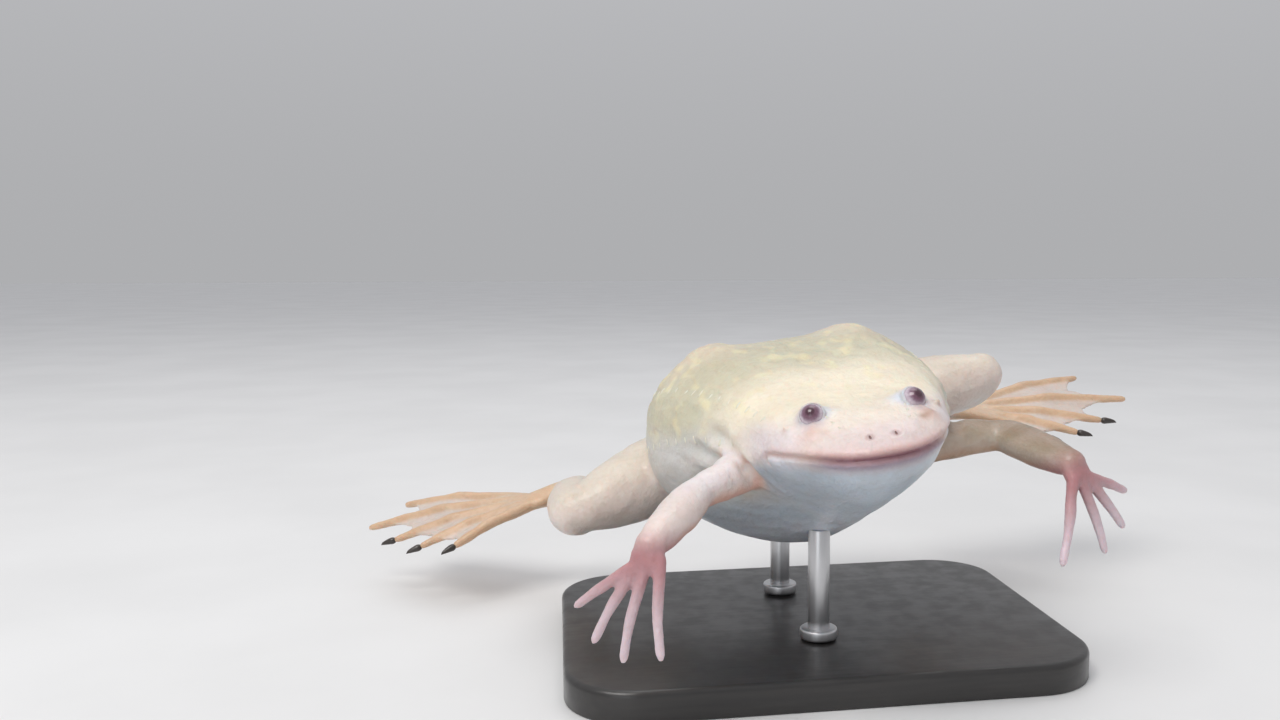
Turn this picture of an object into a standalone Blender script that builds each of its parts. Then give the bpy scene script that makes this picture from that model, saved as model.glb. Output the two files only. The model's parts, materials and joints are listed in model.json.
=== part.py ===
"""A life-size African clawed frog, pale and plump, swimming above a plain display stand.

The frog is modelled in its own frame, in millimetres: the snout's tip is the origin, +X is the frog's
left, +Y runs back along the body and +Z is up. An empty then tips the whole frog and lifts it over the
stand, whose underside is centred on the world's origin. The flesh is joined as one body, smoothed, and
parted by thin cuts into head, torso, arms and legs.
"""

import math

import bmesh
import bpy
from mathutils import Matrix, Vector

MM = 0.001
GAP = 0.3
LEFT, RIGHT = 1, -1

# Driving dimensions of the frog, in millimetres
BODY_LENGTH = 102.0
EYE_RADIUS = 2.2
EYE_CENTRE = Vector((8.9, 12.6, 6.5))
MOUTH_REACH = 19.6
MOUTH_GROOVE = 0.45
NOSTRIL_CENTRE = Vector((2.2, 2.6, 2.55))
NOSTRIL_RADII = Vector((0.45, 0.75, 0.9))
WEB_THICKNESS = 0.6
CLAW_LENGTH = 2.8
CLAWED_TOES = 3
LIP_SWELL = 0.5
SIDE_BEND = -2.5
BACK_HUMP = 2.6
NECK_CUT = 25.0
NECK_CUT_RADIUS = 20.4
ARM_CUT = 10.5
THIGH_CUTS = {LEFT: 30.8, RIGHT: 34.6}

# Body sections from snout to vent: distance back, half width, top, underside, height of the widest
# level (the mouth's line along the head), and the powers that shape the upper and the lower half (1 is
# an ellipse, less is squarer, more is slimmer)
BODY_SECTIONS = (
    (0.0, 0.0, -0.8, -0.8, -0.8, 1.00, 1.00),
    (1.6, 6.3, 2.0, -3.8, -0.6, 0.88, 1.05),
    (5.0, 10.5, 4.2, -6.5, 0.1, 0.76, 1.20),
    (11.0, 14.0, 6.4, -9.6, 0.6, 0.66, 1.32),
    (19.0, 17.0, 8.4, -12.6, 0.9, 0.56, 1.42),
    (28.0, 19.8, 11.2, -15.4, 0.4, 0.58, 1.50),
    (38.0, 24.0, 14.2, -18.0, -0.8, 0.62, 1.50),
    (51.0, 28.4, 17.2, -22.0, -2.2, 0.66, 1.35),
    (64.0, 31.0, 18.8, -25.2, -2.6, 0.66, 1.20),
    (77.0, 29.6, 17.8, -23.8, -2.2, 0.70, 1.10),
    (88.0, 22.4, 14.0, -17.4, -1.2, 0.80, 1.00),
    (96.5, 12.2, 8.6, -9.2, 0.4, 0.95, 1.00),
    (102.0, 0.0, 1.6, 1.6, 1.6, 1.00, 1.00),
)

# Joints of the arms and legs on each side: both are the same lengths, in slightly different poses
ARM_JOINTS = {
    LEFT: ((15.0, 36.0, -4.6), (33.5, 36.5, -5.4), (38.0, 19.5, -9.8)),
    RIGHT: ((-16.5, 35.0, -3.2), (-29.0, 23.3, -4.5), (-38.5, 9.5, -8.8)),
}
LEG_JOINTS = {
    LEFT: ((10.5, 91.0, -3.0), (46.0, 73.0, 4.0), (39.0, 107.0, -5.0)),
    RIGHT: ((-15.5, 91.0, -4.5), (-51.0, 72.0, -11.5), (-49.0, 108.5, -11.0)),
}
SIDE_NAMES = {LEFT: "left", RIGHT: "right"}

# Fingers: direction with its X turned outward from the body, length, and place across the palm
FINGERS = {
    LEFT: (
        ((-0.42, -0.24, -0.87), 14.0, -1.9),
        ((0.26, 0.18, -0.95), 14.0, 0.6),
        ((0.57, 0.30, -0.76), 13.0, 2.4),
        ((0.80, 0.48, -0.34), 11.0, 3.6),
    ),
    RIGHT: (
        ((0.16, -0.24, -0.96), 13.5, -1.9),
        ((0.40, 0.02, -0.92), 14.5, 0.6),
        ((0.62, 0.22, -0.75), 13.5, 2.4),
        ((0.82, 0.42, -0.38), 11.5, 3.6),
    ),
}
FINGER_RADIUS = 0.95

# Toes, from the inner one: turn from the foot's heading towards the rear in degrees, and length
TOES = ((-30.0, 21.0), (-15.0, 27.5), (0.0, 34.0), (16.0, 43.0), (33.0, 38.0))
TOE_RADIUS = 1.35
FOOT_HEADINGS = {LEFT: (0.934, -0.301, -0.193), RIGHT: (-0.99, 0.10, -0.10)}
FOOT_TILTS = {LEFT: math.radians(22.0), RIGHT: math.radians(14.0)}

# How the frog hangs in the water, and the stand
ROLL = math.radians(-8.0)
PITCH = math.radians(-4.5)
BALANCE_POINT = Vector((0.0, 60.0, 0.0))
SWIM_HEIGHT = 47.0
BASE_SIZE = Vector((104.0, 76.0, 6.0))
BASE_CORNER = 14.0
BASE_EDGE = 1.2
ROD_RADIUS = 2.2
ROD_DISTANCES = {"front": 44.0, "rear": 76.0}

# Fineness of the joined flesh
VOXEL = 1.15
FLESH_TRIANGLES = 6700
SMOOTH_ROUNDS = 5


def new_material(name, colour, roughness, metallic=0.0):
    material = bpy.data.materials.new(name)
    material.use_nodes = True
    shader = material.node_tree.nodes["Principled BSDF"]
    shader.inputs["Base Color"].default_value = (*colour, 1.0)
    shader.inputs["Roughness"].default_value = roughness
    shader.inputs["Metallic"].default_value = metallic
    return material


def clear_scene():
    for thing in list(bpy.data.objects):
        bpy.data.objects.remove(thing)


def select_only(thing):
    bpy.ops.object.select_all(action="DESELECT")
    thing.select_set(True)
    bpy.context.view_layer.objects.active = thing


def smooth_through(keys, rows, key):
    """Each column of rows at key, on a smooth curve through the rows."""
    last = len(keys) - 1
    span = max(i for i in range(last) if key >= keys[i] or i == 0)
    width = keys[span + 1] - keys[span]
    share = min(1.0, max(0.0, (key - keys[span]) / width))

    def slope(row, column):
        before, after = max(0, row - 1), min(last, row + 1)
        return (rows[after][column] - rows[before][column]) / (keys[after] - keys[before])

    cube, square = share**3, share**2
    return [
        (2 * cube - 3 * square + 1) * rows[span][column]
        + (cube - 2 * square + share) * width * slope(span, column)
        + (3 * square - 2 * cube) * rows[span + 1][column]
        + (cube - square) * width * slope(span + 1, column)
        for column in range(len(rows[0]))
    ]


def formed_ball(name, sides, rings, place):
    """A sphere whose rings are carried from pole to pole to place(share, angle)."""
    bpy.ops.mesh.primitive_uv_sphere_add(segments=sides, ring_count=rings)
    form = bpy.context.object
    form.name = name
    for vertex in form.data.vertices:
        share = math.acos(max(-1.0, min(1.0, vertex.co.z))) / math.pi
        vertex.co = place(share, math.atan2(vertex.co.y, vertex.co.x)) * MM
    return form


def squared(value, power):
    return math.copysign(abs(value) ** power, value)


def bell(value, middle, spread):
    """A smooth swelling, 1 at its middle and fading on both sides."""
    return math.exp(-(((value - middle) / spread) ** 2))


def side_bend(distance):
    """How far the spine curves towards the frog's right."""
    share = min(1.0, max(0.0, (distance - 25.0) / 45.0))
    return SIDE_BEND * share * share * (3 - 2 * share)


def body_share(distance):
    """How far from pole to pole a distance behind the snout lies."""
    return math.acos(max(-1.0, min(1.0, 1 - 2 * distance / BODY_LENGTH))) / math.pi


def body_section(share):
    keys = [body_share(row[0]) for row in BODY_SECTIONS]
    return smooth_through(keys, [row[1:] for row in BODY_SECTIONS], share)


def body_point(share, angle):
    wide, top, under, level, upper, lower = body_section(share)
    distance = BODY_LENGTH * (1 - math.cos(math.pi * share)) / 2
    across, upward = math.cos(angle), math.sin(angle)
    if upward > 0:
        reach = squared(across, upper)
        hump = BACK_HUMP * bell(abs(reach), 0.52, 0.20) * bell(distance, 66.0, 17.0)
        lift = (top - level + hump) * squared(upward, upper)
    else:
        reach = squared(across, lower)
        lift = (level - under) * squared(upward, lower)
    return Vector((wide * reach + side_bend(distance), distance, level + lift))


def limb(name, stations, sides=12, rings=14, up=(0.0, 0.0, 1.0)):
    """A rounded limb through stations, each a point, a half width and a half height."""
    points = [Vector(station[:3]) for station in stations]
    keys = [0.0]
    for before, after in zip(points, points[1:]):
        keys.append(keys[-1] + (after - before).length)
    reach = keys[-1]
    thick = max(station[3] for station in stations)

    def centre(key):
        return Vector(smooth_through(keys, stations, key)[:3])

    def place(share, angle):
        key = reach * (1 - math.cos(math.pi * share)) / 2
        wide, tall = smooth_through(keys, stations, key)[3:5]
        step = reach * 0.01
        tangent = (centre(min(reach, key + step)) - centre(max(0.0, key - step))).normalized()
        side = tangent.cross(Vector(up)).normalized()
        rounding = math.sin(math.pi * share) * math.sqrt(reach / (2 * thick))
        rounding /= (1 + rounding**4) ** 0.25
        lift = side.cross(tangent)
        return centre(key) + rounding * (side * wide * math.cos(angle) + lift * tall * math.sin(angle))

    return formed_ball(name, sides, rings, place)


def ellipsoid(name, centre, radii, sides=16, rings=10):
    bpy.ops.mesh.primitive_uv_sphere_add(segments=sides, ring_count=rings)
    ball = bpy.context.object
    ball.name = name
    for vertex in ball.data.vertices:
        vertex.co = (Vector(centre) + vertex.co * Vector(radii)) * MM
    return ball


def apply_modifiers(thing):
    select_only(thing)
    for modifier in list(thing.modifiers):
        bpy.ops.object.modifier_apply(modifier=modifier.name)


def keep_largest(thing):
    """Keeps only the largest closed surface, so that a sealed hollow or a scrap is dropped."""
    select_only(thing)
    bpy.ops.object.mode_set(mode="EDIT")
    bpy.ops.mesh.select_all(action="SELECT")
    bpy.ops.mesh.separate(type="LOOSE")
    bpy.ops.object.mode_set(mode="OBJECT")
    pieces = list(bpy.context.selected_objects)
    largest = max(pieces, key=lambda piece: len(piece.data.vertices))
    for piece in pieces:
        if piece != largest:
            bpy.data.objects.remove(piece)
    return largest


def united(name, pieces):
    """One closed body from overlapping pieces, by one Boolean union."""
    others = bpy.data.collections.new(name + "_pieces")
    for piece in pieces[1:]:
        others.objects.link(piece)
    body = pieces[0]
    join = body.modifiers.new("join", "BOOLEAN")
    join.operation = "UNION"
    join.solver = "MANIFOLD"
    join.operand_type = "COLLECTION"
    join.collection = others
    apply_modifiers(body)
    for piece in list(others.objects):
        bpy.data.objects.remove(piece)
    bpy.data.collections.remove(others)
    body = keep_largest(body)
    body.name = name
    return body


def cut(thing, cutter):
    take = thing.modifiers.new("cut", "BOOLEAN")
    take.operation = "DIFFERENCE"
    take.solver = "MANIFOLD"
    take.object = cutter
    apply_modifiers(thing)
    bpy.data.objects.remove(cutter)


def slab(centre, normal, radius, thickness=GAP):
    """A thin round cutter across a limb."""
    turn = Vector((0.0, 0.0, 1.0)).rotation_difference(Vector(normal)).to_matrix().to_4x4()
    bpy.ops.mesh.primitive_cylinder_add(vertices=32, radius=radius * MM, depth=thickness * MM)
    disc = bpy.context.object
    disc.data.transform(Matrix.Translation(Vector(centre) * MM) @ turn)
    return disc


def trimmed(thing, point, outward):
    """Cuts off what lies beyond a plane, with a flat end."""
    mesh = bmesh.new()
    mesh.from_mesh(thing.data)
    made = bmesh.ops.bisect_plane(
        mesh,
        geom=list(mesh.verts) + list(mesh.edges) + list(mesh.faces),
        plane_co=Vector(point) * MM,
        plane_no=Vector(outward),
        clear_outer=True,
    )
    rim = [part for part in made["geom_cut"] if isinstance(part, bmesh.types.BMEdge)]
    bmesh.ops.edgeloop_fill(mesh, edges=rim)
    bmesh.ops.recalc_face_normals(mesh, faces=mesh.faces)
    mesh.to_mesh(thing.data)
    mesh.free()
    return thing


def cropped_at(thing, point, along, radius):
    """Takes away what lies within a radius behind a plane, and leaves what swings past beside it."""
    depth = 2 * radius
    middle = Vector(point) - Vector(along) * (depth / 2)
    cut(thing, slab(middle, along, radius, depth))
    return keep_largest(thing)


def between(start, end, share):
    return Vector(start).lerp(Vector(end), share)


def body_form():
    return formed_ball("flesh", 56, 60, body_point)


def brow(side):
    """The low mound of skin that an eye sits in."""
    centre = EYE_CENTRE + Vector((-0.6, 3.0, -1.9))
    return ellipsoid("brow", (side * centre.x, centre.y, centre.z), (4.0, 4.8, 4.0))


def vent_lobes():
    return [
        ellipsoid("vent", (SIDE_BEND + offset, BODY_LENGTH + 0.4, height), (1.7, 2.6, 1.5))
        for offset, height in ((0.0, 2.4), (-1.9, 0.2), (1.9, 0.2))
    ]


def arm_forms(side):
    shoulder, elbow, wrist = ARM_JOINTS[side]
    upper = limb(
        "upper_arm",
        (
            (*between(shoulder, elbow, -0.3), 4.3, 4.5),
            (*between(shoulder, elbow, 0.4), 3.7, 3.8),
            (*elbow, 3.4, 3.4),
            (*between(shoulder, elbow, 1.12), 3.3, 3.3),
        ),
        16,
        16,
    )
    lower = limb(
        "forearm",
        (
            (*between(elbow, wrist, -0.12), 3.4, 3.4),
            (*between(elbow, wrist, 0.4), 3.8, 3.7),
            (*wrist, 3.2, 3.2),
            (*between(elbow, wrist, 1.18), 3.1, 3.1),
        ),
        16,
        16,
    )
    return [upper, lower]


def leg_forms(side):
    hip, knee, ankle = LEG_JOINTS[side]
    thigh = limb(
        "thigh",
        (
            (*hip, 9.5, 8.8),
            (*between(hip, knee, 0.35), 10.4, 9.6),
            (*between(hip, knee, 0.7), 8.8, 8.2),
            (*knee, 6.2, 5.9),
            (*between(hip, knee, 1.07), 6.0, 5.8),
        ),
        20,
        20,
    )
    shank = limb(
        "shank",
        (
            (*between(knee, ankle, -0.09), 5.6, 5.6),
            (*knee, 5.8, 5.8),
            (*between(knee, ankle, 0.35), 6.9, 6.5),
            (*between(knee, ankle, 0.7), 5.0, 4.8),
            (*ankle, 3.4, 3.3),
            (*between(knee, ankle, 1.16), 3.2, 3.1),
        ),
        18,
        18,
    )
    return [thigh, shank]


def swell_lips(flesh):
    """Rounds the upper lip along the mouth's line, fading towards its corners."""
    for vertex in flesh.data.vertices:
        _, distance, height = vertex.co / MM
        if 0.0 < distance < MOUTH_REACH:
            above = height - body_section(body_share(distance))[3]
            fade = 1 - (distance / MOUTH_REACH) ** 4
            vertex.co += vertex.normal * (LIP_SWELL * bell(above, 1.1, 0.9) * fade * MM)


def joined_flesh():
    """Head, torso, arms and legs as one body, smoothed where they meet, then thinned."""
    pieces = [body_form(), brow(LEFT), brow(RIGHT), *vent_lobes()]
    for side in (LEFT, RIGHT):
        pieces += arm_forms(side) + leg_forms(side)
    flesh = united("flesh", pieces)
    remesh = flesh.modifiers.new("even", "REMESH")
    remesh.mode = "VOXEL"
    remesh.voxel_size = VOXEL * MM
    soften = flesh.modifiers.new("soften", "SMOOTH")
    soften.factor = 0.5
    soften.iterations = SMOOTH_ROUNDS
    apply_modifiers(flesh)
    swell_lips(flesh)
    faces = sum(len(face.vertices) - 2 for face in flesh.data.polygons)
    thin = flesh.modifiers.new("thin", "DECIMATE")
    thin.ratio = FLESH_TRIANGLES / faces
    apply_modifiers(flesh)
    return flesh


def mouth_line(flesh):
    """A groove round the snout along the head's widest level, from corner to corner."""
    steps = 22
    shares = [body_share(MOUTH_REACH * (step / steps) ** 1.6) for step in range(1, steps + 1)]
    line = [body_point(share, math.pi) for share in reversed(shares)]
    line += [body_point(0.0, 0.0)] + [body_point(share, 0.0) for share in shares]
    curve = bpy.data.curves.new("mouth", "CURVE")
    curve.dimensions = "3D"
    curve.bevel_depth = MOUTH_GROOVE * MM
    curve.bevel_resolution = 1
    curve.use_fill_caps = True
    path = curve.splines.new("POLY")
    path.points.add(len(line) - 1)
    for spot, point in zip(path.points, line):
        spot.co = (*(point * MM), 1.0)
    guide = bpy.data.objects.new("mouth_guide", curve)
    bpy.context.collection.objects.link(guide)
    bpy.context.view_layer.update()
    evaluated = guide.evaluated_get(bpy.context.evaluated_depsgraph_get())
    groove = bpy.data.objects.new("mouth_cutter", bpy.data.meshes.new_from_object(evaluated))
    groove.matrix_world = guide.matrix_world
    bpy.context.collection.objects.link(groove)
    bpy.data.objects.remove(guide)
    mesh = bmesh.new()
    mesh.from_mesh(groove.data)
    bmesh.ops.remove_doubles(mesh, verts=mesh.verts, dist=1e-6)
    bmesh.ops.recalc_face_normals(mesh, faces=mesh.faces)
    mesh.to_mesh(groove.data)
    mesh.free()
    cut(flesh, groove)


def sockets_and_nostrils(flesh):
    for side in (LEFT, RIGHT):
        socket = EYE_RADIUS + GAP
        eye = (side * EYE_CENTRE.x, EYE_CENTRE.y, EYE_CENTRE.z)
        cut(flesh, ellipsoid("socket", eye, (socket, socket, socket), 24, 16))
        nostril = (side * NOSTRIL_CENTRE.x, NOSTRIL_CENTRE.y, NOSTRIL_CENTRE.z)
        cut(flesh, ellipsoid("nostril", nostril, NOSTRIL_RADII, 10, 6))


def cut_planes(side):
    """Where each arm and leg is parted: a point on the cut, its normal and its radius."""
    shoulder, elbow, wrist = (Vector(joint) for joint in ARM_JOINTS[side])
    hip, knee, ankle = (Vector(joint) for joint in LEG_JOINTS[side])
    upper, lower = (elbow - shoulder).normalized(), (wrist - elbow).normalized()
    thigh, shank = (knee - hip).normalized(), (ankle - knee).normalized()
    thigh_reach = (side * THIGH_CUTS[side] - hip.x) / thigh.x
    return (
        (shoulder + upper * ARM_CUT, upper, 6.6),
        (elbow, upper + lower, 6.5),
        (wrist, lower, 5.0),
        (hip + thigh * thigh_reach, Vector((1.0, 0.0, 0.0)), 14.5),
        (knee + (shank - thigh).normalized() * 10.0, thigh + shank, 17.5),
        (ankle, shank, 6.0),
    )


def node_anchors():
    """A point inside each part of the flesh, by name."""
    anchors = {"head": Vector((0.0, 12.0, -1.0)), "torso": Vector((0.0, 60.0, -3.0))}
    for side in (LEFT, RIGHT):
        name = SIDE_NAMES[side]
        shoulder, elbow, wrist = ARM_JOINTS[side]
        hip, knee, ankle = LEG_JOINTS[side]
        anchors["upper_arm_" + name] = between(shoulder, elbow, 0.7)
        anchors["forearm_" + name] = between(elbow, wrist, 0.5)
        anchors["thigh_" + name] = between(hip, knee, 0.7)
        anchors["shank_" + name] = between(knee, ankle, 0.5)
    return anchors


def centre_of(part):
    corners = [Vector(corner) for corner in part.bound_box]
    return (corners[0] + corners[6]) / 2


def part_flesh(flesh):
    """Parts the joined flesh with thin cuts and names each part by the anchor nearest to it."""
    cut(flesh, slab((0.0, NECK_CUT, -2.0), (0.0, 1.0, 0.0), NECK_CUT_RADIUS))
    for side in (LEFT, RIGHT):
        for point, normal, radius in cut_planes(side):
            cut(flesh, slab(point, normal.normalized(), radius))
    select_only(flesh)
    bpy.ops.object.mode_set(mode="EDIT")
    bpy.ops.mesh.select_all(action="SELECT")
    bpy.ops.mesh.separate(type="LOOSE")
    bpy.ops.object.mode_set(mode="OBJECT")
    parts = list(bpy.context.selected_objects)
    named = {}
    for name, anchor in node_anchors().items():
        left = [part for part in parts if part not in named.values()]
        apart = [(centre_of(part) - anchor * MM).length for part in left]
        found = left[apart.index(min(apart))]
        found.name = name
        named[name] = found
    for part in parts:
        if part not in named.values():
            bpy.data.objects.remove(part)
    return named


def hand(side):
    """Palm and four slim fingers, hanging from the wrist."""
    shoulder, elbow, wrist = (Vector(joint) for joint in ARM_JOINTS[side])
    along = (wrist - elbow).normalized()
    down = Vector((0.0, 0.0, -1.0))
    heading = (along * 0.45 + down).normalized()
    across = Vector((0.90 * side, 0.43, 0.0)).normalized()
    knuckles = wrist + along * 1.6 + heading * 3.6
    start = wrist + along * GAP
    stub = limb(
        "wrist",
        (
            (*(start - along * 2.4), 3.1, 3.0),
            (*(start + along * 1.0), 3.1, 2.9),
            (*(start + along * 3.8), 3.0, 2.7),
        ),
        12,
        8,
    )
    palm = limb(
        "palm",
        (
            (*(wrist + along * 1.2 - heading * 1.6), 3.0, 2.6),
            (*(wrist + along * 1.6 + heading * 2.2 + across * 0.4), 3.9, 2.3),
            (*(knuckles + heading * 0.8 + across * 0.8), 4.5, 1.7),
        ),
        12,
        10,
        across.cross(heading),
    )
    pieces = [trimmed(united("palm", [palm, stub]), wrist + along * GAP / 2, -along)]
    for direction, length, offset in FINGERS[side]:
        pointing = Vector((direction[0] * side, direction[1], direction[2])).normalized()
        root = knuckles + across * offset
        bend = heading * 0.10 * length
        bow = across * 0.04 * length
        pieces.append(
            limb(
                "finger",
                (
                    (*(root - pointing * 2.2), FINGER_RADIUS, FINGER_RADIUS),
                    (*(root + pointing * length * 0.45 + bend * 0.5 + bow), 0.88, 0.88),
                    (*(root + pointing * length * 0.75 + bend * 0.8 + bow * 0.7), 0.72, 0.72),
                    (*(root + pointing * length + bend), 0.5, 0.5),
                ),
                8,
                8,
            )
        )
    return united("hand_" + SIDE_NAMES[side], pieces)


def foot_axes(side):
    """The foot's heading, its direction to the rear and the place where its toes spring."""
    ankle = Vector(LEG_JOINTS[side][2])
    outward = Vector(FOOT_HEADINGS[side]).normalized()
    tilt = FOOT_TILTS[side]
    rearward = Vector((side * 0.12, math.cos(tilt), math.sin(tilt))).normalized()
    return ankle + outward * 14.5, outward, rearward


def toe_path(side, number):
    """Root, middle and tip of a toe, and its heading."""
    base, outward, rearward = foot_axes(side)
    turn, length = TOES[number]
    angle = math.radians(turn)
    heading = (outward * math.cos(angle) + rearward * math.sin(angle)).normalized()
    normal = outward.cross(rearward).normalized() * side
    root = base + rearward * (number - 2) * 1.7
    bow = normal * length
    return (
        root - heading * 3.0,
        root + heading * length * 0.5 + bow * 0.03,
        root + heading * length - bow * 0.02,
        heading,
    )


def toe(side, number):
    root, middle, tip, heading = toe_path(side, number)
    knuckle = between(root, middle, 0.5)
    form = limb(
        "toe",
        (
            (*root, TOE_RADIUS * 1.1, TOE_RADIUS * 1.1),
            (*knuckle, TOE_RADIUS, TOE_RADIUS * 1.05),
            (*middle, TOE_RADIUS * 0.92, TOE_RADIUS * 0.95),
            (*between(middle, tip, 0.55), TOE_RADIUS * 0.72, TOE_RADIUS * 0.74),
            (*tip, TOE_RADIUS * 0.62, TOE_RADIUS * 0.62),
        ),
        8,
        10,
    )
    if number < CLAWED_TOES:
        trimmed(form, tip - heading * 1.2, heading)
    return form


def web(side, number):
    """The thin skin between two neighbouring toes, hollowed along its free edge."""
    columns, rows = 4, 6
    first, second = toe_path(side, number), toe_path(side, number + 1)

    def on_toe(path, share):
        root, middle, tip, _ = path
        start = between(root, middle, 0.3)
        return start.lerp(middle, share * 2) if share < 0.5 else middle.lerp(tip, share * 2 - 1)

    bpy.ops.mesh.primitive_grid_add(x_subdivisions=columns, y_subdivisions=rows, size=2)
    sheet = bpy.context.object
    for vertex in sheet.data.vertices:
        across, along = 0.5 + 0.48 * vertex.co.x, (vertex.co.y + 1) / 2
        reach = along * (0.93 - 0.15 * math.sin(math.pi * across))
        place = on_toe(first, reach).lerp(on_toe(second, reach), across)
        vertex.co = place * MM
    sheet.modifiers.new("split", "TRIANGULATE")
    thicken = sheet.modifiers.new("thicken", "SOLIDIFY")
    thicken.thickness = WEB_THICKNESS * MM
    thicken.offset = 0.0
    apply_modifiers(sheet)
    mesh = bmesh.new()
    mesh.from_mesh(sheet.data)
    bmesh.ops.recalc_face_normals(mesh, faces=mesh.faces)
    mesh.to_mesh(sheet.data)
    mesh.free()
    return sheet


def foot(side):
    """Ankle bones, five toes and the webs between them."""
    ankle = Vector(LEG_JOINTS[side][2])
    knee = Vector(LEG_JOINTS[side][1])
    along = (ankle - knee).normalized()
    base, outward, rearward = foot_axes(side)
    heel = limb(
        "heel",
        (
            (*(ankle - along * 2.5), 3.2, 3.2),
            (*(ankle + along * 1.4), 3.3, 3.2),
            (*(ankle + along * 5.2), 3.0, 3.0),
        ),
        14,
        10,
    )
    instep = limb(
        "instep",
        (
            (*(ankle + along * 2.4 - outward * 2.4), 2.9, 2.8),
            (*(ankle + along * 2.6 + outward * 4.5), 3.0, 2.8),
            (*(base - outward * 3.5), 4.0, 2.1),
            (*(base + outward * 1.5), 4.6, 1.7),
        ),
        14,
        14,
        outward.cross(rearward) * side,
    )
    pieces = [cropped_at(united("instep", [instep, heel]), ankle + along * GAP / 2, along, 4.4)]
    pieces += [toe(side, number) for number in range(len(TOES))]
    pieces += [web(side, number) for number in range(len(TOES) - 1)]
    return united("foot_" + SIDE_NAMES[side], pieces)


def claw(side, number):
    """A black horn cap on the end of an inner toe."""
    _, _, tip, heading = toe_path(side, number)
    start = tip - heading * (1.2 - GAP)
    droop = Vector((0.0, 0.0, -0.35))
    form = limb(
        f"claw_{SIDE_NAMES[side]}_{number + 1}",
        (
            (*(start - heading * 1.0), 0.8, 0.8),
            (*(start + heading * CLAW_LENGTH * 0.4), 0.66, 0.66),
            (*(start + heading * CLAW_LENGTH + droop), 0.2, 0.2),
        ),
        8,
        8,
    )
    return trimmed(form, start, -heading)


def eye(side):
    centre = (side * EYE_CENTRE.x, EYE_CENTRE.y, EYE_CENTRE.z)
    radii = (EYE_RADIUS, EYE_RADIUS, EYE_RADIUS)
    return ellipsoid("eye_" + SIDE_NAMES[side], centre, radii, 16, 12)


def stand_base():
    """A flat plate with rounded corners and softened edges."""
    bpy.ops.mesh.primitive_cube_add(size=1.0)
    plate = bpy.context.object
    plate.name = "stand_base"
    plate.scale = BASE_SIZE * MM
    plate.location = (0.0, 0.0, BASE_SIZE.z * MM / 2)
    bpy.ops.object.transform_apply(location=True, scale=True)
    mesh = bmesh.new()
    mesh.from_mesh(plate.data)
    upright = [edge for edge in mesh.edges if abs(edge.verts[0].co.z - edge.verts[1].co.z) > MM]
    corner = BASE_CORNER * MM
    bmesh.ops.bevel(mesh, geom=upright, offset=corner, segments=6, profile=0.5, affect="EDGES")
    mesh.to_mesh(plate.data)
    mesh.free()
    soften = plate.modifiers.new("soften", "BEVEL")
    soften.width = BASE_EDGE * MM
    soften.segments = 2
    soften.limit_method = "ANGLE"
    soften.angle_limit = math.radians(50)
    return plate


def stand_rod(name, place, torso):
    """An upright rod whose top is cut to the belly's curve, a small gap below it."""
    foot_level = BASE_SIZE.z + GAP
    height = SWIM_HEIGHT - foot_level
    bpy.ops.mesh.primitive_cylinder_add(
        vertices=24,
        radius=ROD_RADIUS * MM,
        depth=height * MM,
        location=(place.x, place.y, (foot_level + height / 2) * MM),
    )
    rod = bpy.context.object
    rod.name = "stand_rod_" + name
    bpy.ops.object.transform_apply(location=True)
    swell = torso.copy()
    swell.data = torso.data.copy()
    bpy.context.collection.objects.link(swell)
    push = swell.modifiers.new("swell", "DISPLACE")
    push.strength = GAP * MM
    push.mid_level = 0.0
    apply_modifiers(swell)
    bpy.context.view_layer.update()
    cut(rod, swell)
    return keep_largest(rod)


def swim_pose():
    """The empty that tips the frog and lifts it over the stand."""
    pose = bpy.data.objects.new("frog", None)
    bpy.context.collection.objects.link(pose)
    turn = Matrix.Rotation(PITCH, 4, "X") @ Matrix.Rotation(ROLL, 4, "Y")
    raised = Matrix.Translation(Vector((0.0, 0.0, SWIM_HEIGHT)) * MM)
    pose.matrix_world = raised @ turn @ Matrix.Translation(-BALANCE_POINT * MM)
    return pose


def finish_round(thing, material):
    thing.data.materials.clear()
    thing.data.materials.append(material)
    select_only(thing)
    bpy.ops.object.shade_smooth()
    thing.data.set_sharp_from_angle(angle=math.radians(45))


def build():
    clear_scene()
    skin = new_material("pale_skin", (0.80, 0.72, 0.60), 0.35)
    horn = new_material("black_horn", (0.02, 0.017, 0.015), 0.4)
    eyeball = new_material("dark_eye", (0.13, 0.03, 0.05), 0.08)
    board = new_material("stand_board", (0.03, 0.03, 0.032), 0.5)
    steel = new_material("stand_steel", (0.55, 0.56, 0.57), 0.3, 1.0)

    flesh = joined_flesh()
    mouth_line(flesh)
    sockets_and_nostrils(flesh)
    frog = list(part_flesh(flesh).values())
    for side in (LEFT, RIGHT):
        frog += [hand(side), foot(side)]
    for thing in frog:
        finish_round(thing, skin)
    for side in (LEFT, RIGHT):
        ball = eye(side)
        finish_round(ball, eyeball)
        frog.append(ball)
        for number in range(CLAWED_TOES):
            tip = claw(side, number)
            finish_round(tip, horn)
            frog.append(tip)

    pose = swim_pose()
    for thing in frog:
        thing.parent = pose
    bpy.context.view_layer.update()

    finish_round(stand_base(), board)
    torso = bpy.data.objects["torso"]
    for name, distance in ROD_DISTANCES.items():
        under = pose.matrix_world @ (Vector((side_bend(distance), distance, 0.0)) * MM)
        finish_round(stand_rod(name, under, torso), steel)

    show = bpy.data.collections.new("african_clawed_frog")
    bpy.context.scene.collection.children.link(show)
    for thing in list(bpy.context.scene.objects):
        for holder in list(thing.users_collection):
            holder.objects.unlink(thing)
        show.objects.link(thing)


build()
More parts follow.
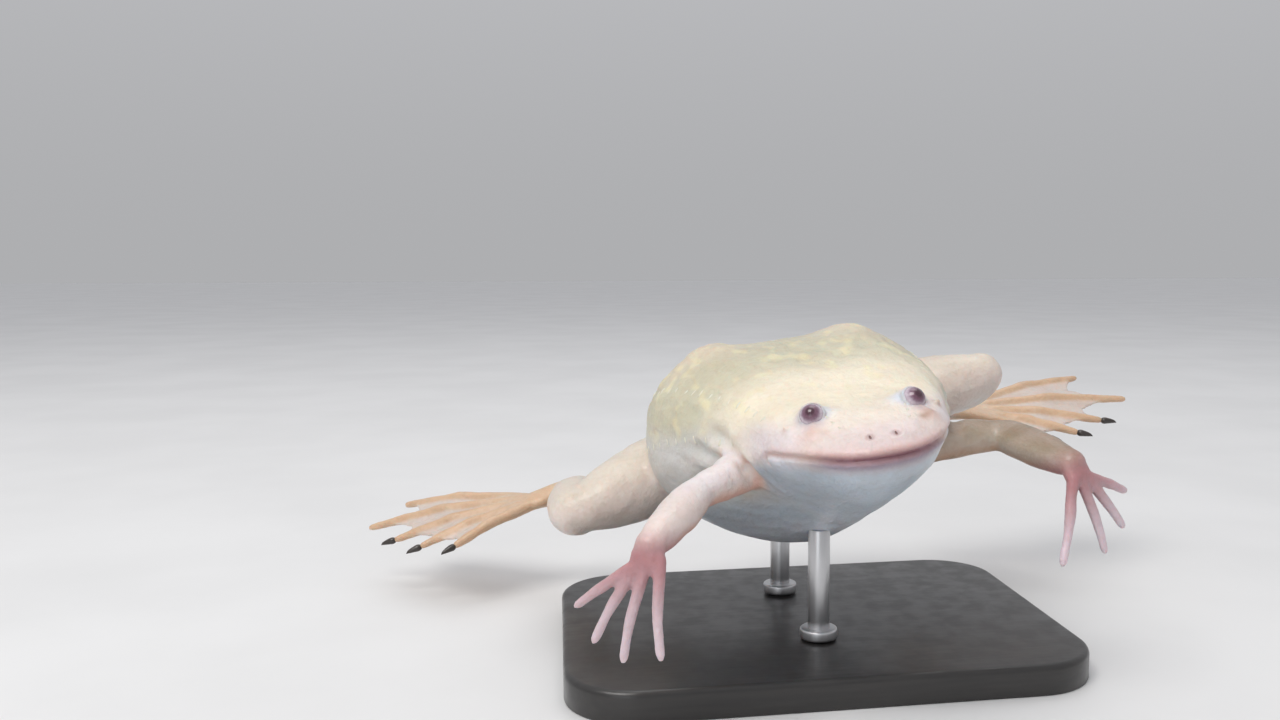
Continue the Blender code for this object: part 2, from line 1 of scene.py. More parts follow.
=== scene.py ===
"""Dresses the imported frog: one seamless wet skin, webs, eyes, claws, lateral-line stitches and the stand.

The skin is modelled in the frog's own frame, in millimetres: the snout's tip is the origin, +X is the
frog's left, +Y runs back along the body and +Z is up. At the end the swim pose carries each mesh into the
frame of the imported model.
"""

import json
import math

import bmesh
import bpy
import numpy as np
from mathutils import Matrix, Vector
from mathutils.bvhtree import BVHTree

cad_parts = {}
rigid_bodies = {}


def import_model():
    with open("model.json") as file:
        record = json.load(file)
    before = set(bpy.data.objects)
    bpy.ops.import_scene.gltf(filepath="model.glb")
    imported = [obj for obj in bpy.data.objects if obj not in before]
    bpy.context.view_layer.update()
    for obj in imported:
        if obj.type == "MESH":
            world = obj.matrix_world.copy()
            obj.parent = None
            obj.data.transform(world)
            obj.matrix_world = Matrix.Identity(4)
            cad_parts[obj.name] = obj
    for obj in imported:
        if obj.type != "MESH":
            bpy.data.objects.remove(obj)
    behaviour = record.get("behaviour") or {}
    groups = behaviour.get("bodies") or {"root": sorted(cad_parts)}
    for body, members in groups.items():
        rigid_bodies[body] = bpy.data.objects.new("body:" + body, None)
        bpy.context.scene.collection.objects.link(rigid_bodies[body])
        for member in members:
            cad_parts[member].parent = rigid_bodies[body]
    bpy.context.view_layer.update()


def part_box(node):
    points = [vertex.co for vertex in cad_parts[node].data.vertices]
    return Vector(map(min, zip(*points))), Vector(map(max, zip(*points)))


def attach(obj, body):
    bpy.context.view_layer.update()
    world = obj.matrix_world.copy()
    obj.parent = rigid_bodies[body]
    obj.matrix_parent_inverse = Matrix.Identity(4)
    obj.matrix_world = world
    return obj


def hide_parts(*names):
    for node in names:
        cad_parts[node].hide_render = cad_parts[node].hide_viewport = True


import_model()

MM = 0.001
LEFT, RIGHT = 1, -1
SIDE_NAMES = {LEFT: "left", RIGHT: "right"}

# The frog's driving dimensions, in millimetres
BODY_LENGTH = 102.0
EYE_RADIUS = 2.2
EYE_CENTRE = Vector((8.9, 12.6, 6.5))
GAZE = Vector((0.30, -0.80, 0.52)).normalized()
EYE_OPENING = 63.0
NOSTRIL_CENTRE = Vector((2.2, 2.6, 2.55))
NOSTRIL_RADII = Vector((0.24, 0.48, 0.47))
SIDE_BEND = -2.5
BACK_HUMP = 2.6
WEB_THICKNESS = 0.62
CLAW_LENGTH = 2.8
CLAWED_TOES = 3

# Body sections from snout to vent: distance back, half width, top, underside, height of the widest
# level (the mouth's line along the head), and the powers that shape the upper and the lower half
BODY_SECTIONS = (
    (0.0, 0.0, -0.8, -0.8, -0.8, 1.00, 1.00),
    (1.6, 6.3, 2.0, -3.8, -0.6, 0.88, 1.05),
    (5.0, 10.5, 4.2, -6.5, 0.1, 0.76, 1.20),
    (11.0, 14.0, 6.4, -9.6, 0.6, 0.66, 1.32),
    (19.0, 17.0, 8.4, -12.6, 0.9, 0.56, 1.42),
    (28.0, 19.8, 11.2, -15.4, 0.4, 0.58, 1.50),
    (38.0, 24.0, 14.2, -18.0, -0.8, 0.62, 1.50),
    (51.0, 28.4, 17.2, -22.0, -2.2, 0.66, 1.35),
    (64.0, 31.0, 18.8, -25.2, -2.6, 0.66, 1.20),
    (77.0, 29.6, 17.8, -23.8, -2.2, 0.70, 1.10),
    (88.0, 22.4, 14.0, -17.4, -1.2, 0.80, 1.00),
    (96.5, 12.2, 8.6, -9.2, 0.4, 0.95, 1.00),
    (102.0, 0.0, 1.6, 1.6, 1.6, 1.00, 1.00),
)
ARM_JOINTS = {
    LEFT: ((15.0, 36.0, -4.6), (33.5, 36.5, -5.4), (38.0, 19.5, -9.8)),
    RIGHT: ((-16.5, 35.0, -3.2), (-29.0, 23.3, -4.5), (-38.5, 9.5, -8.8)),
}
LEG_JOINTS = {
    LEFT: ((10.5, 91.0, -3.0), (46.0, 73.0, 4.0), (39.0, 107.0, -5.0)),
    RIGHT: ((-15.5, 91.0, -4.5), (-51.0, 72.0, -11.5), (-49.0, 108.5, -11.0)),
}

# The limbs' stations: share of the way along the bone, half width and half height
UPPER_ARM = ((-0.3, 4.3, 4.5), (0.4, 3.7, 3.8), (1.0, 3.4, 3.4), (1.12, 3.3, 3.3))
FOREARM = ((-0.12, 3.4, 3.4), (0.4, 3.8, 3.7), (1.0, 3.2, 3.2), (1.18, 3.1, 3.1))
THIGH = ((0.0, 9.5, 8.8), (0.35, 10.4, 9.6), (0.7, 8.8, 8.2), (1.0, 6.2, 5.9), (1.07, 6.0, 5.8))
SHANK = (
    (-0.09, 5.6, 5.6),
    (0.0, 5.8, 5.8),
    (0.35, 6.9, 6.5),
    (0.7, 5.0, 4.8),
    (1.0, 3.4, 3.3),
    (1.16, 3.2, 3.1),
)

# Fingers: direction with its X turned outward from the body, length, and place across the palm
FINGERS = {
    LEFT: (
        ((-0.42, -0.24, -0.87), 14.0, -1.9),
        ((0.26, 0.18, -0.95), 14.0, 0.6),
        ((0.57, 0.30, -0.76), 13.0, 2.4),
        ((0.80, 0.48, -0.34), 11.0, 3.6),
    ),
    RIGHT: (
        ((0.16, -0.24, -0.96), 13.5, -1.9),
        ((0.40, 0.02, -0.92), 14.5, 0.6),
        ((0.62, 0.22, -0.75), 13.5, 2.4),
        ((0.82, 0.42, -0.38), 11.5, 3.6),
    ),
}
FINGER_RADIUS = 0.95

# A finger's stations: how far along it, how much of its bend and of its bow is reached, and its radius
FINGER_SHAPE = (
    (0.18, 0.20, 0.5, 1.04),
    (0.45, 0.50, 1.0, 0.98),
    (0.60, 0.65, 1.0, 0.86),
    (0.75, 0.80, 0.7, 0.84),
    (0.93, 0.95, 0.2, 0.80),
    (1.00, 1.00, 0.0, 0.62),
)

# Toes, from the inner one: turn from the foot's heading towards the rear in degrees, and length
TOES = ((-30.0, 21.0), (-15.0, 27.5), (0.0, 34.0), (16.0, 43.0), (33.0, 38.0))
TOE_RADIUS = 1.35

# A toe's stations: how far along it, and its thickness there as a share of the radius
TOE_SHAPE = (
    (0.0, 1.12),
    (0.25, 1.08),
    (0.38, 0.96),
    (0.5, 1.02),
    (0.62, 0.86),
    (0.76, 0.90),
    (0.88, 0.74),
    (1.0, 0.70),
)

# The feet's headings and how far each foot tilts up towards the rear
FOOT_HEADINGS = {LEFT: (0.934, -0.301, -0.193), RIGHT: (-0.99, 0.10, -0.10)}
FOOT_TILTS = {LEFT: math.radians(22.0), RIGHT: math.radians(14.0)}

# How the frog swims over the stand: its roll and pitch, the point it turns about, and that point's height
ROLL = math.radians(-8.0)
PITCH = math.radians(-4.5)
BALANCE_POINT = Vector((0.0, 60.0, 0.0))
SWIM_HEIGHT = 47.0

# The mouth's reach behind the snout, and its line's turn down at the corner: distance back and height
MOUTH_CORNER = 19.4
MOUTH_HOOK = (
    (0.0, 0.0, 0.0),
    (17.4, 0.0, 0.0),
    (18.6, -0.25, 0.0),
    (MOUTH_CORNER, -0.9, 0.0),
    (19.6, -1.8, 0.0),
)

# Places by the left eye, mirrored at the right one: a swelling, a short feeler, a mark and a sheen, which is
# a painted bluish highlight
POUCH = Vector((10.3, 8.6, 4.3))
FEELER = Vector((13.4, 13.8, 5.1))
EYE_MARK = Vector((8.4, 6.6, 4.1))
EYE_SHEEN = Vector((6.2, 12.8, 6.9))

# The stand's plate and the collars round its rods' feet
PLATE_CORNER = 14.0
PLATE_EDGE = 1.2
COLLAR_RIM = 1.6
COLLAR_HEIGHT = 2.2

# Edges of the stand turned further than this, in degrees, stay sharp
STAND_SHARP = 35

# A lateral-line stitch: half its length, width and rise, how deep it is sunk, and its size on the face,
# which reaches that far behind the snout
STITCH_LENGTH, STITCH_WIDTH, STITCH_RISE = 0.85, 0.32, 0.24
STITCH_SINK = 0.12
FACE_REACH, FACE_SIZE = 17.0, 0.6

# The lids: the rim's clearance over the eye and its swelling, and how far out the skin is drawn back
LID_GAP = 0.06
LID_SWELL = 0.20
LID_REACH = 2.6

# The feet's webs: how much of a toe they reach, the notch in their free edge, their pleats and their sag
WEB_REACH = 0.94
WEB_NOTCH = 0.17
WEB_PLEAT = 0.30
WEB_SAG = 0.5

# Fineness of the skin: the size of its mesh and the rounds of smoothing
TRUNK_VOXEL, TRUNK_ROUNDS = 0.72, 11
HAND_VOXEL, HAND_ROUNDS = 0.34, 5
FOOT_VOXEL, FOOT_ROUNDS = 0.40, 5
FOOT_SHARE = 0.32
HEAD_REACH = 27.0

# The camera: place, yaw, tilt down and roll in degrees, focal length, and the framing's small shift
CAMERA_PLACE = Vector((-51.65, -226.76, 82.32))
CAMERA_TURN = (9.473, 6.539, -0.081)
CAMERA_LENS = 31.08
CAMERA_SHIFT = (-0.08, 0.02)

# The studio's light from round about and from above
HORIZON = (0.425, 0.428, 0.440)
ZENITH = (0.550, 0.555, 0.578)

# The lamps: place, size across in metres, power in watts, and colour
LAMPS = {
    "key": ((-0.42, -0.40, 0.88), 0.60, 5.6, (1.0, 0.98, 0.95)),
    "top": ((0.10, 0.30, 1.0), 0.7, 1.8, (1.0, 1.0, 1.0)),
    "fill": ((-0.40, -0.75, 0.14), 0.5, 0.65, (0.92, 0.96, 1.0)),
}
LAMP_TARGET = Vector((0.0, 0.0, 0.05))


def linear(red, green, blue):
    """A display colour, 0 to 255, as linear light."""
    return np.array([((value / 255) + 0.055) ** 2.4 / 1.055**2.4 for value in (red, green, blue)])


# Eye and skin colours
EYE_RIM = linear(204, 192, 202)
IRIS_PLUM = linear(134, 106, 124)
IRIS_MAROON = linear(110, 70, 88)
PUPIL = linear(74, 40, 54)
CREAM = linear(240, 230, 208)
OLIVE = linear(200, 196, 171)
PEACH = linear(238, 212, 190)
CHEEK = linear(232, 223, 230)
SNOUT_PINK = linear(216, 200, 206)
LIP_SALMON = linear(220, 168, 160)
LIP_MAROON = linear(142, 94, 108)
LIP_RUST = linear(214, 162, 134)
CHIN_MAUVE = linear(152, 142, 158)
JOWL_WHITE = linear(226, 230, 240)
# A painted bluish highlight by each eye
SHEEN_BLUE = linear(218, 226, 238)
# Painted shade for the nostrils' pits
NOSTRIL_SHADE = linear(176, 144, 142)
FLANK_GREY = linear(210, 208, 206)
THIGH_PINK = linear(226, 212, 206)
# The underside's cool white, partly its own pale colour and partly painted shade
UNDERSIDE_WHITE_AND_SHADE = linear(192, 202, 212)
ARM_PINK = linear(228, 214, 208)
# Painted light on top of the right upper arm
SHOULDER_PAINTED_LIGHT = linear(236, 232, 238)
ARM_SALMON = linear(222, 170, 150)
# The left arm's olive and brown, partly its own colour and partly painted shade
ARM_OLIVE_AND_SHADE = linear(146, 133, 103)
ARM_BROWN_AND_SHADE = linear(132, 106, 84)
PALM_RED = linear(182, 132, 136)
TIP_LAVENDER = linear(212, 196, 204)
LID_LILAC = linear(206, 192, 200)
# Brown painted shade for the crease where the arm meets the body
ARMPIT_SHADE = linear(186, 132, 92)
MARK_BROWN = linear(168, 128, 102)
TOE_TAN = linear(208, 178, 148)
WEB_GREY = linear(206, 196, 188)
SPOT_YELLOW = linear(240, 230, 186)

# Shades that darken a colour in patches, and pairs of shades that a grain runs between
SKIN_CLOUD = (0.62, 0.52, 0.45)
SKIN_FLECK = (0.72, 0.60, 0.50)
IRIS_STREAK = (0.45, 0.30, 0.38)
STITCH_SHADES = (linear(216, 208, 188), linear(230, 222, 203))
HORN_SHADES = ((0.012, 0.010, 0.009), (0.060, 0.045, 0.036))
BOARD_SHADES = ((0.014, 0.013, 0.013), (0.036, 0.033, 0.031))
STEEL_SHADES = ((0.60, 0.60, 0.61), (0.66, 0.66, 0.67))
FLOOR_SHADES = ((0.74, 0.74, 0.74), (0.78, 0.78, 0.78))


def deselect():
    bpy.ops.object.select_all(action="DESELECT")


def select_only(thing):
    deselect()
    thing.select_set(True)
    bpy.context.view_layer.objects.active = thing


def set_up(thing, **values):
    """Gives a thing the named settings, and hands it back."""
    for name, value in values.items():
        setattr(thing, name, value)
    return thing


def modify(thing, kind, **values):
    """Adds one modifier with its settings and applies it."""
    modifier = set_up(thing.modifiers.new(kind, kind), **values)
    select_only(thing)
    bpy.ops.object.modifier_apply(modifier=modifier.name)


def enter(mode):
    bpy.ops.object.mode_set(mode=mode)


def smooth_through(keys, rows, key):
    """Each column of rows at key, on a smooth curve through the rows."""
    last = len(keys) - 1
    span = max(i for i in range(last) if key >= keys[i] or i == 0)
    width = keys[span + 1] - keys[span]
    share = min(1.0, max(0.0, (key - keys[span]) / width))

    def slope(row, column):
        before, after = max(0, row - 1), min(last, row + 1)
        return (rows[after][column] - rows[before][column]) / (keys[after] - keys[before])

    cube, square = share**3, share**2
    return [
        (2 * cube - 3 * square + 1) * rows[span][column]
        + (cube - 2 * square + share) * width * slope(span, column)
        + (3 * square - 2 * cube) * rows[span + 1][column]
        + (cube - square) * width * slope(span + 1, column)
        for column in range(len(rows[0]))
    ]


def between(start, end, share):
    return Vector(start).lerp(Vector(end), share)


def on_side(spot, side):
    """A place given for the frog's left, mirrored if the side is the right one."""
    return Vector((side * spot[0], spot[1], spot[2]))


def squared(value, power):
    return math.copysign(abs(value) ** power, value)


def bell(value, middle, spread):
    """A smooth swelling, 1 at its middle and fading on both sides."""
    return np.exp(-(((value - middle) / spread) ** 2))


def ramp(value, start, end):
    """0 before start, 1 after end, and smooth between them."""
    share = np.clip((value - start) / (end - start), 0.0, 1.0)
    return share * share * (3 - 2 * share)


def fade(value, start, end):
    """1 before start, 0 after end, and smooth between them."""
    return 1 - ramp(value, start, end)


def side_bend(distance):
    """How far the spine curves towards the frog's right."""
    return SIDE_BEND * ramp(distance, 25.0, 70.0)


def formed_ball(name, sides, rings, place):
    """A sphere whose rings are carried from pole to pole to place(share, angle)."""
    bpy.ops.mesh.primitive_uv_sphere_add(segments=sides, ring_count=rings)
    form = bpy.context.object
    form.name = name
    for vertex in form.data.vertices:
        share = math.acos(max(-1.0, min(1.0, vertex.co.z))) / math.pi
        vertex.co = place(share, math.atan2(vertex.co.y, vertex.co.x)) * MM
    return form


def body_share(distance):
    """How far from pole to pole a distance behind the snout lies."""
    return math.acos(max(-1.0, min(1.0, 1 - 2 * distance / BODY_LENGTH))) / math.pi


BODY_KEYS = [body_share(row[0]) for row in BODY_SECTIONS]
BODY_ROWS = [row[1:] for row in BODY_SECTIONS]


def body_point(share, angle):
    wide, top, under, level, upper, lower = smooth_through(BODY_KEYS, BODY_ROWS, share)
    distance = BODY_LENGTH * (1 - math.cos(math.pi * share)) / 2
    across, upward = math.cos(angle), math.sin(angle)
    if upward > 0:
        reach = squared(across, upper)
        hump = BACK_HUMP * bell(abs(reach), 0.52, 0.20) * bell(distance, 66.0, 17.0)
        lift = (top - level + hump) * squared(upward, upper)
    else:
        reach = squared(across, lower)
        lift = (level - under) * squared(upward, lower)
    return Vector((wide * reach + side_bend(distance), distance, level + lift))


def limb(name, stations, sides=20, rings=24, up=(0.0, 0.0, 1.0)):
    """A rounded limb through stations, each a point, a half width and a half height."""
    points = [Vector(station[:3]) for station in stations]
    keys = [0.0]
    for before, after in zip(points, points[1:]):
        keys.append(keys[-1] + (after - before).length)
    reach = keys[-1]
    thick = max(station[3] for station in stations)

    def centre(key):
        return Vector(smooth_through(keys, stations, key)[:3])

    def place(share, angle):
        key = reach * (1 - math.cos(math.pi * share)) / 2
        wide, tall = smooth_through(keys, stations, key)[3:5]
        step = reach * 0.01
        tangent = (centre(min(reach, key + step)) - centre(max(0.0, key - step))).normalized()
        side = tangent.cross(Vector(up)).normalized()
        rounding = math.sin(math.pi * share) * math.sqrt(reach / (2 * thick))
        rounding /= (1 + rounding**4) ** 0.25
        lift = side.cross(tangent)
        return centre(key) + rounding * (side * wide * math.cos(angle) + lift * tall * math.sin(angle))

    return formed_ball(name, sides, rings, place)


def ellipsoid(name, centre, radii, sides=28, rings=18):
    bpy.ops.mesh.primitive_uv_sphere_add(segments=sides, ring_count=rings)
    ball = bpy.context.object
    ball.name = name
    for vertex in ball.data.vertices:
        vertex.co = (Vector(centre) + vertex.co * Vector(radii)) * MM
    return ball


def keep_largest(thing):
    """Keeps only the largest closed surface, so that a sealed hollow or a scrap is dropped."""
    select_only(thing)
    enter("EDIT")
    bpy.ops.mesh.select_all(action="SELECT")
    bpy.ops.mesh.separate(type="LOOSE")
    enter("OBJECT")
    pieces = list(bpy.context.selected_objects)
    largest = max(pieces, key=lambda piece: len(piece.data.vertices))
    for piece in pieces:
        if piece != largest:
            bpy.data.objects.remove(piece)
    return largest


def united(name, pieces):
    """One closed body from overlapping pieces, by one Boolean union."""
    rest = bpy.data.collections.new(name + "_pieces")
    for piece in pieces[1:]:
        rest.objects.link(piece)
    body = pieces[0]
    modify(body, "BOOLEAN", operation="UNION", solver="MANIFOLD", operand_type="COLLECTION", collection=rest)
    for piece in list(rest.objects):
        bpy.data.objects.remove(piece)
    bpy.data.collections.remove(rest)
    body = keep_largest(body)
    body.name = name
    return body


def cut(thing, cutter):
    modify(thing, "BOOLEAN", operation="DIFFERENCE", solver="MANIFOLD", object=cutter)
    bpy.data.objects.remove(cutter)


def evened(thing, voxel, rounds):
    """Joined forms turned into one even mesh, softened where they meet."""
    modify(thing, "REMESH", mode="VOXEL", voxel_size=voxel * MM)
    modify(thing, "SMOOTH", factor=0.5, iterations=rounds)
    return thing


def brow(side):
    """The low mound of skin that an eye sits in."""
    centre = EYE_CENTRE + Vector((-0.6, 3.0, -1.9))
    return ellipsoid("brow", on_side(centre, side), (4.0, 4.8, 4.0))


def vent_lobes():
    return [
        ellipsoid("vent", (SIDE_BEND + offset, BODY_LENGTH + 0.4, height), (1.7, 2.6, 1.5))
        for offset, height in ((0.0, 2.4), (-1.9, 0.2), (1.9, 0.2))
    ]


def bone(name, start, end, form, sides=20, rings=24):
    """A limb along one straight bone, with its stations at shares of the way."""
    stations = [(*between(start, end, share), wide, tall) for share, wide, tall in form]
    return limb(name, stations, sides, rings)


def limb_forms(side):
    shoulder, elbow, wrist = ARM_JOINTS[side]
    hip, knee, ankle = LEG_JOINTS[side]
    return [
        bone("upper_arm", shoulder, elbow, UPPER_ARM),
        bone("forearm", elbow, wrist, FOREARM),
        bone("thigh", hip, knee, THIGH, 28, 28),
        bone("shank", knee, ankle, SHANK, 24, 28),
    ]


def trunk():
    """Head, body, arms and legs as one even form."""
    pieces = [formed_ball("skin", 96, 96, body_point), brow(LEFT), brow(RIGHT), *vent_lobes()]
    for side in (LEFT, RIGHT):
        pieces += limb_forms(side)
    return evened(united("skin", pieces), TRUNK_VOXEL, TRUNK_ROUNDS)


def hand(side):
    """Palm and four slim fingers, tapering to their tips, hanging from the wrist."""
    elbow, wrist = (Vector(joint) for joint in ARM_JOINTS[side][1:])
    along = (wrist - elbow).normalized()
    heading = (along * 0.45 + Vector((0.0, 0.0, -1.0))).normalized()
    across = Vector((0.90 * side, 0.43, 0.0)).normalized()
    knuckles = wrist + along * 1.6 + heading * 3.6
    stub = (
        (*(wrist - along * 2.8), 2.8, 2.8),
        (*(wrist + along * 1.2), 3.2, 3.0),
        (*(wrist + along * 4.0), 3.0, 2.8),
    )
    palm = (
        (*(wrist + along * 1.2 - heading * 1.6), 3.0, 2.7),
        (*(wrist + along * 1.6 + heading * 2.2 + across * 0.4), 4.0, 2.4),
        (*(knuckles + heading * 1.0 + across * 0.8), 4.6, 1.8),
    )
    pieces = [limb("wrist", stub, 20, 14), limb("palm", palm, 20, 18, across.cross(heading))]
    for direction, length, offset in FINGERS[side]:
        pointing = on_side(direction, side).normalized()
        root = knuckles + across * offset
        bend = heading * 0.10 * length
        bow = across * 0.04 * length
        finger = [(*(root - pointing * 2.2), FINGER_RADIUS * 1.3, FINGER_RADIUS * 1.3)]
        for share, bent, bowed, radius in FINGER_SHAPE:
            spot = root + pointing * length * share + bend * bent + bow * bowed
            finger.append((*spot, radius, radius))
        pieces.append(limb("finger", finger, 14, 26))
    return evened(united("hand", pieces), HAND_VOXEL, HAND_ROUNDS)


def foot_axes(side):
    """The place where the toes spring, the foot's heading and its direction to the rear."""
    outward = Vector(FOOT_HEADINGS[side]).normalized()
    tilt = FOOT_TILTS[side]
    rearward = Vector((side * 0.12, math.cos(tilt), math.sin(tilt))).normalized()
    return Vector(LEG_JOINTS[side][2]) + outward * 14.5, outward, rearward


def toe_path(side, number):
    """Root, middle and tip of a toe, its heading and the foot's upward normal."""
    base, outward, rearward = foot_axes(side)
    turn, length = TOES[number]
    angle = math.radians(turn)
    heading = (outward * math.cos(angle) + rearward * math.sin(angle)).normalized()
    normal = outward.cross(rearward).normalized() * side
    root = base + rearward * (number - 2) * 1.7
    bow = normal * length
    return (
        root - heading * 3.0,
        root + heading * length * 0.5 + bow * 0.03,
        root + heading * length - bow * 0.02,
        heading,
        normal,
    )


def toe(side, number):
    """A toe with soft knuckles, which ends blunt under its claw or in a slim tip."""
    root, middle, tip, heading, _ = toe_path(side, number)
    end = tip - heading * 0.9 if number < CLAWED_TOES else tip
    rows = []
    for share, thick in TOE_SHAPE:
        spot = between(root, middle, share * 2) if share <= 0.5 else between(middle, end, share * 2 - 1)
        rows.append((*spot, TOE_RADIUS * thick, TOE_RADIUS * thick))
    return limb("toe", rows, 14, 36)


def web(side, number):
    """The thin pleated skin between two neighbouring toes, hollowed along its free edge."""
    first, second = toe_path(side, number), toe_path(side, number + 1)
    normal = first[4]

    def on_toe(path, share):
        start = between(path[0], path[1], 0.3)
        return start.lerp(path[1], share * 2) if share < 0.5 else path[1].lerp(path[2], share * 2 - 1)

    bpy.ops.mesh.primitive_grid_add(x_subdivisions=16, y_subdivisions=32, size=2)
    sheet = bpy.context.object
    for vertex in sheet.data.vertices:
        across, along = 0.5 + 0.48 * vertex.co.x, (vertex.co.y + 1) / 2
        crown = math.sin(math.pi * across)
        reach = along * (WEB_REACH - WEB_NOTCH * crown)
        place = on_toe(first, reach).lerp(on_toe(second, reach), across)
        pleat = WEB_PLEAT * along * crown * math.cos(5 * math.pi * across)
        vertex.co = (place + normal * (pleat - WEB_SAG * along * crown)) * MM
    modify(sheet, "SOLIDIFY", thickness=WEB_THICKNESS * MM, offset=0.0)
    mesh = bmesh.new()
    mesh.from_mesh(sheet.data)
    bmesh.ops.recalc_face_normals(mesh, faces=mesh.faces)
    mesh.to_mesh(sheet.data)
    mesh.free()
    return sheet


def foot(side):
    """Ankle, instep, five toes and the webs between them."""
    ankle = Vector(LEG_JOINTS[side][2])
    along = (ankle - Vector(LEG_JOINTS[side][1])).normalized()
    base, outward, rearward = foot_axes(side)
    heel = (
        (*(ankle - along * 3.0), 3.0, 3.0),
        (*(ankle + along * 1.4), 3.4, 3.3),
        (*(ankle + along * 5.4), 3.0, 3.0),
    )
    instep = (
        (*(ankle + along * 2.4 - outward * 2.4), 3.0, 2.9),
        (*(ankle + along * 2.6 + outward * 4.5), 3.1, 2.9),
        (*(base - outward * 3.5), 4.1, 2.2),
        (*(base + outward * 1.5), 4.7, 1.8),
    )
    pieces = [limb("heel", heel, 24, 16), limb("instep", instep, 24, 24, outward.cross(rearward) * side)]
    pieces += [toe(side, number) for number in range(len(TOES))]
    pieces += [web(side, number) for number in range(len(TOES) - 1)]
    made = evened(united("foot", pieces), FOOT_VOXEL, FOOT_ROUNDS)
    modify(made, "DECIMATE", ratio=FOOT_SHARE)
    return made


def read_vectors(thing, kind):
    values = np.empty(len(thing.data.vertices) * 3)
    thing.data.vertices.foreach_get(kind, values)
    return values.reshape(-1, 3)


def read_points(thing):
    return read_vectors(thing, "co") / MM


def write_points(thing, points):
    thing.data.vertices.foreach_set("co", (points * MM).ravel())
    thing.data.update()


def distance_to(points, line):
    """The distance of each point from a line of points."""
    nearest = np.full(len(points), 1e9)
    for start, end in zip(line, line[1:]):
        start, step = np.array(start, float), np.array(end, float) - np.array(start, float)
        share = np.clip((points - start) @ step / (step @ step), 0.0, 1.0)
        nearest = np.minimum(nearest, np.linalg.norm(points - start - share[:, None] * step, axis=1))
    return nearest


def distance_from(points, spot):
    return np.linalg.norm(points - np.array(spot), axis=1)


def patch(points, spot, spread):
    """A soft round patch about a spot, 1 at its middle."""
    return bell(distance_from(points, spot), 0.0, spread)


def soften_where(thing, weights, rounds):
    """Smooths the mesh only where the weights say."""
    group = thing.vertex_groups.new(name="soft")
    for index in np.nonzero(weights > 0.01)[0]:
        group.add([int(index)], float(weights[index]), "REPLACE")
    modify(thing, "SMOOTH", factor=0.5, iterations=rounds, vertex_group=group.name)
    thing.vertex_groups.clear()


def join_limbs(skin):
    """Fuses hands and feet to the trunk and smooths the wrists and ankles."""
    ends = [maker(side) for side in (LEFT, RIGHT) for maker in (hand, foot)]
    skin = united("skin", [skin, *ends])
    points = read_points(skin)
    weights = np.zeros(len(points))
    for side in (LEFT, RIGHT):
        for joint in (ARM_JOINTS[side][2], LEG_JOINTS[side][2]):
            weights = np.maximum(weights, patch(points, joint, 3.4))
    soften_where(skin, weights, 14)
    return skin


def refine_head(skin):
    """Doubles the fineness of the head, where the small forms are."""
    points = read_points(skin)
    in_head = (points[:, 1] < HEAD_REACH) & (np.abs(points[:, 0]) < 20.0) & (points[:, 2] > -17.0)
    select_only(skin)
    enter("EDIT")
    bpy.ops.mesh.select_all(action="DESELECT")
    enter("OBJECT")
    flags = [bool(in_head[list(face.vertices)].all()) for face in skin.data.polygons]
    skin.data.polygons.foreach_set("select", flags)
    enter("EDIT")
    bpy.ops.mesh.subdivide(number_cuts=1)
    enter("OBJECT")
    points = read_points(skin)
    weights = ramp(-points[:, 1], -HEAD_REACH - 2.0, -HEAD_REACH + 2.0) * (np.abs(points[:, 0]) < 22.0)
    soften_where(skin, weights, 5)


def head_level(distance):
    """Height of the mouth's line at each distance behind the snout."""
    keys = [row[0] for row in BODY_SECTIONS]
    return np.interp(distance, keys, [row[4] for row in BODY_SECTIONS])


def mouth_places(points):
    """For each point near the mouth: height over its line, nearness to it, and whether it is on the head."""
    height = points[:, 2] - head_level(points[:, 1])
    hook = distance_to(np.column_stack((points[:, 1], height, np.zeros(len(points)))), MOUTH_HOOK)
    on_head = ramp(-points[:, 1], -26.5, -24.5) * ramp(np.abs(height), 7.0, 5.0)
    return height, hook, on_head


def shape_mouth(points, normals):
    height, near, on_head = mouth_places(points)
    distance = points[:, 1]
    reach = fade(distance, MOUTH_CORNER - 5.0, MOUTH_CORNER - 0.5)
    front = fade(distance, 1.5, 9.0)
    groove = -(0.52 + 0.20 * front) * np.exp(-((near / 0.46) ** 2))
    upper_lip = 0.36 * bell(height, 1.1, 0.85) * reach
    lower_lip = 0.14 * bell(height, -0.95, 0.55) * reach
    tucked_jaw = -0.32 * ramp(-height, 0.1, 0.6) * fade(-height, 2.5, 6.0) * reach
    curl = 0.30 * bell(distance, MOUTH_CORNER + 0.6, 1.1) * bell(height, 0.2, 1.0)
    jowl = 0.30 * bell(distance, MOUTH_CORNER - 3.4, 2.6) * bell(height, -1.7, 1.1)
    return normals * ((groove + upper_lip + lower_lip + tucked_jaw + curl + jowl) * on_head)[:, None]


# Folds of the skin on the frog's right: the line's points, depth, and half width
FOLDS = (
    (((-23.6, 36.6, 4.0), (-22.6, 34.2, 4.3), (-21.4, 31.8, 4.1)), 0.45, 1.2),
    (((-25.2, 39.6, 0.9), (-24.6, 38.0, 0.3), (-23.6, 35.8, -0.6), (-22.4, 33.4, -1.4)), 0.75, 1.3),
    (((-22.5, 34.0, 3.6), (-21.2, 31.0, 2.2), (-20.2, 28.6, 0.3), (-19.0, 27.4, -1.9)), 0.45, 1.2),
    (((-19.0, 27.4, -1.9), (-17.6, 27.5, -5.0), (-15.4, 27.8, -8.4)), 0.55, 1.2),
    (((-24.0, 80.0, -6.0), (-23.0, 86.0, 0.0), (-19.0, 91.0, 5.0)), 0.7, 1.6),
)


def shape_folds(points, normals):
    depth = np.zeros(len(points))
    for line, deep, wide in FOLDS:
        for side in (LEFT, RIGHT):
            mirrored = [(-side * x, y, z) for x, y, z in line]
            near = distance_to(points, mirrored)
            depth -= deep * np.exp(-((near / wide) ** 2))
            depth += 0.45 * deep * bell(near, 2.2 * wide, 0.9 * wide)
    return normals * depth[:, None]


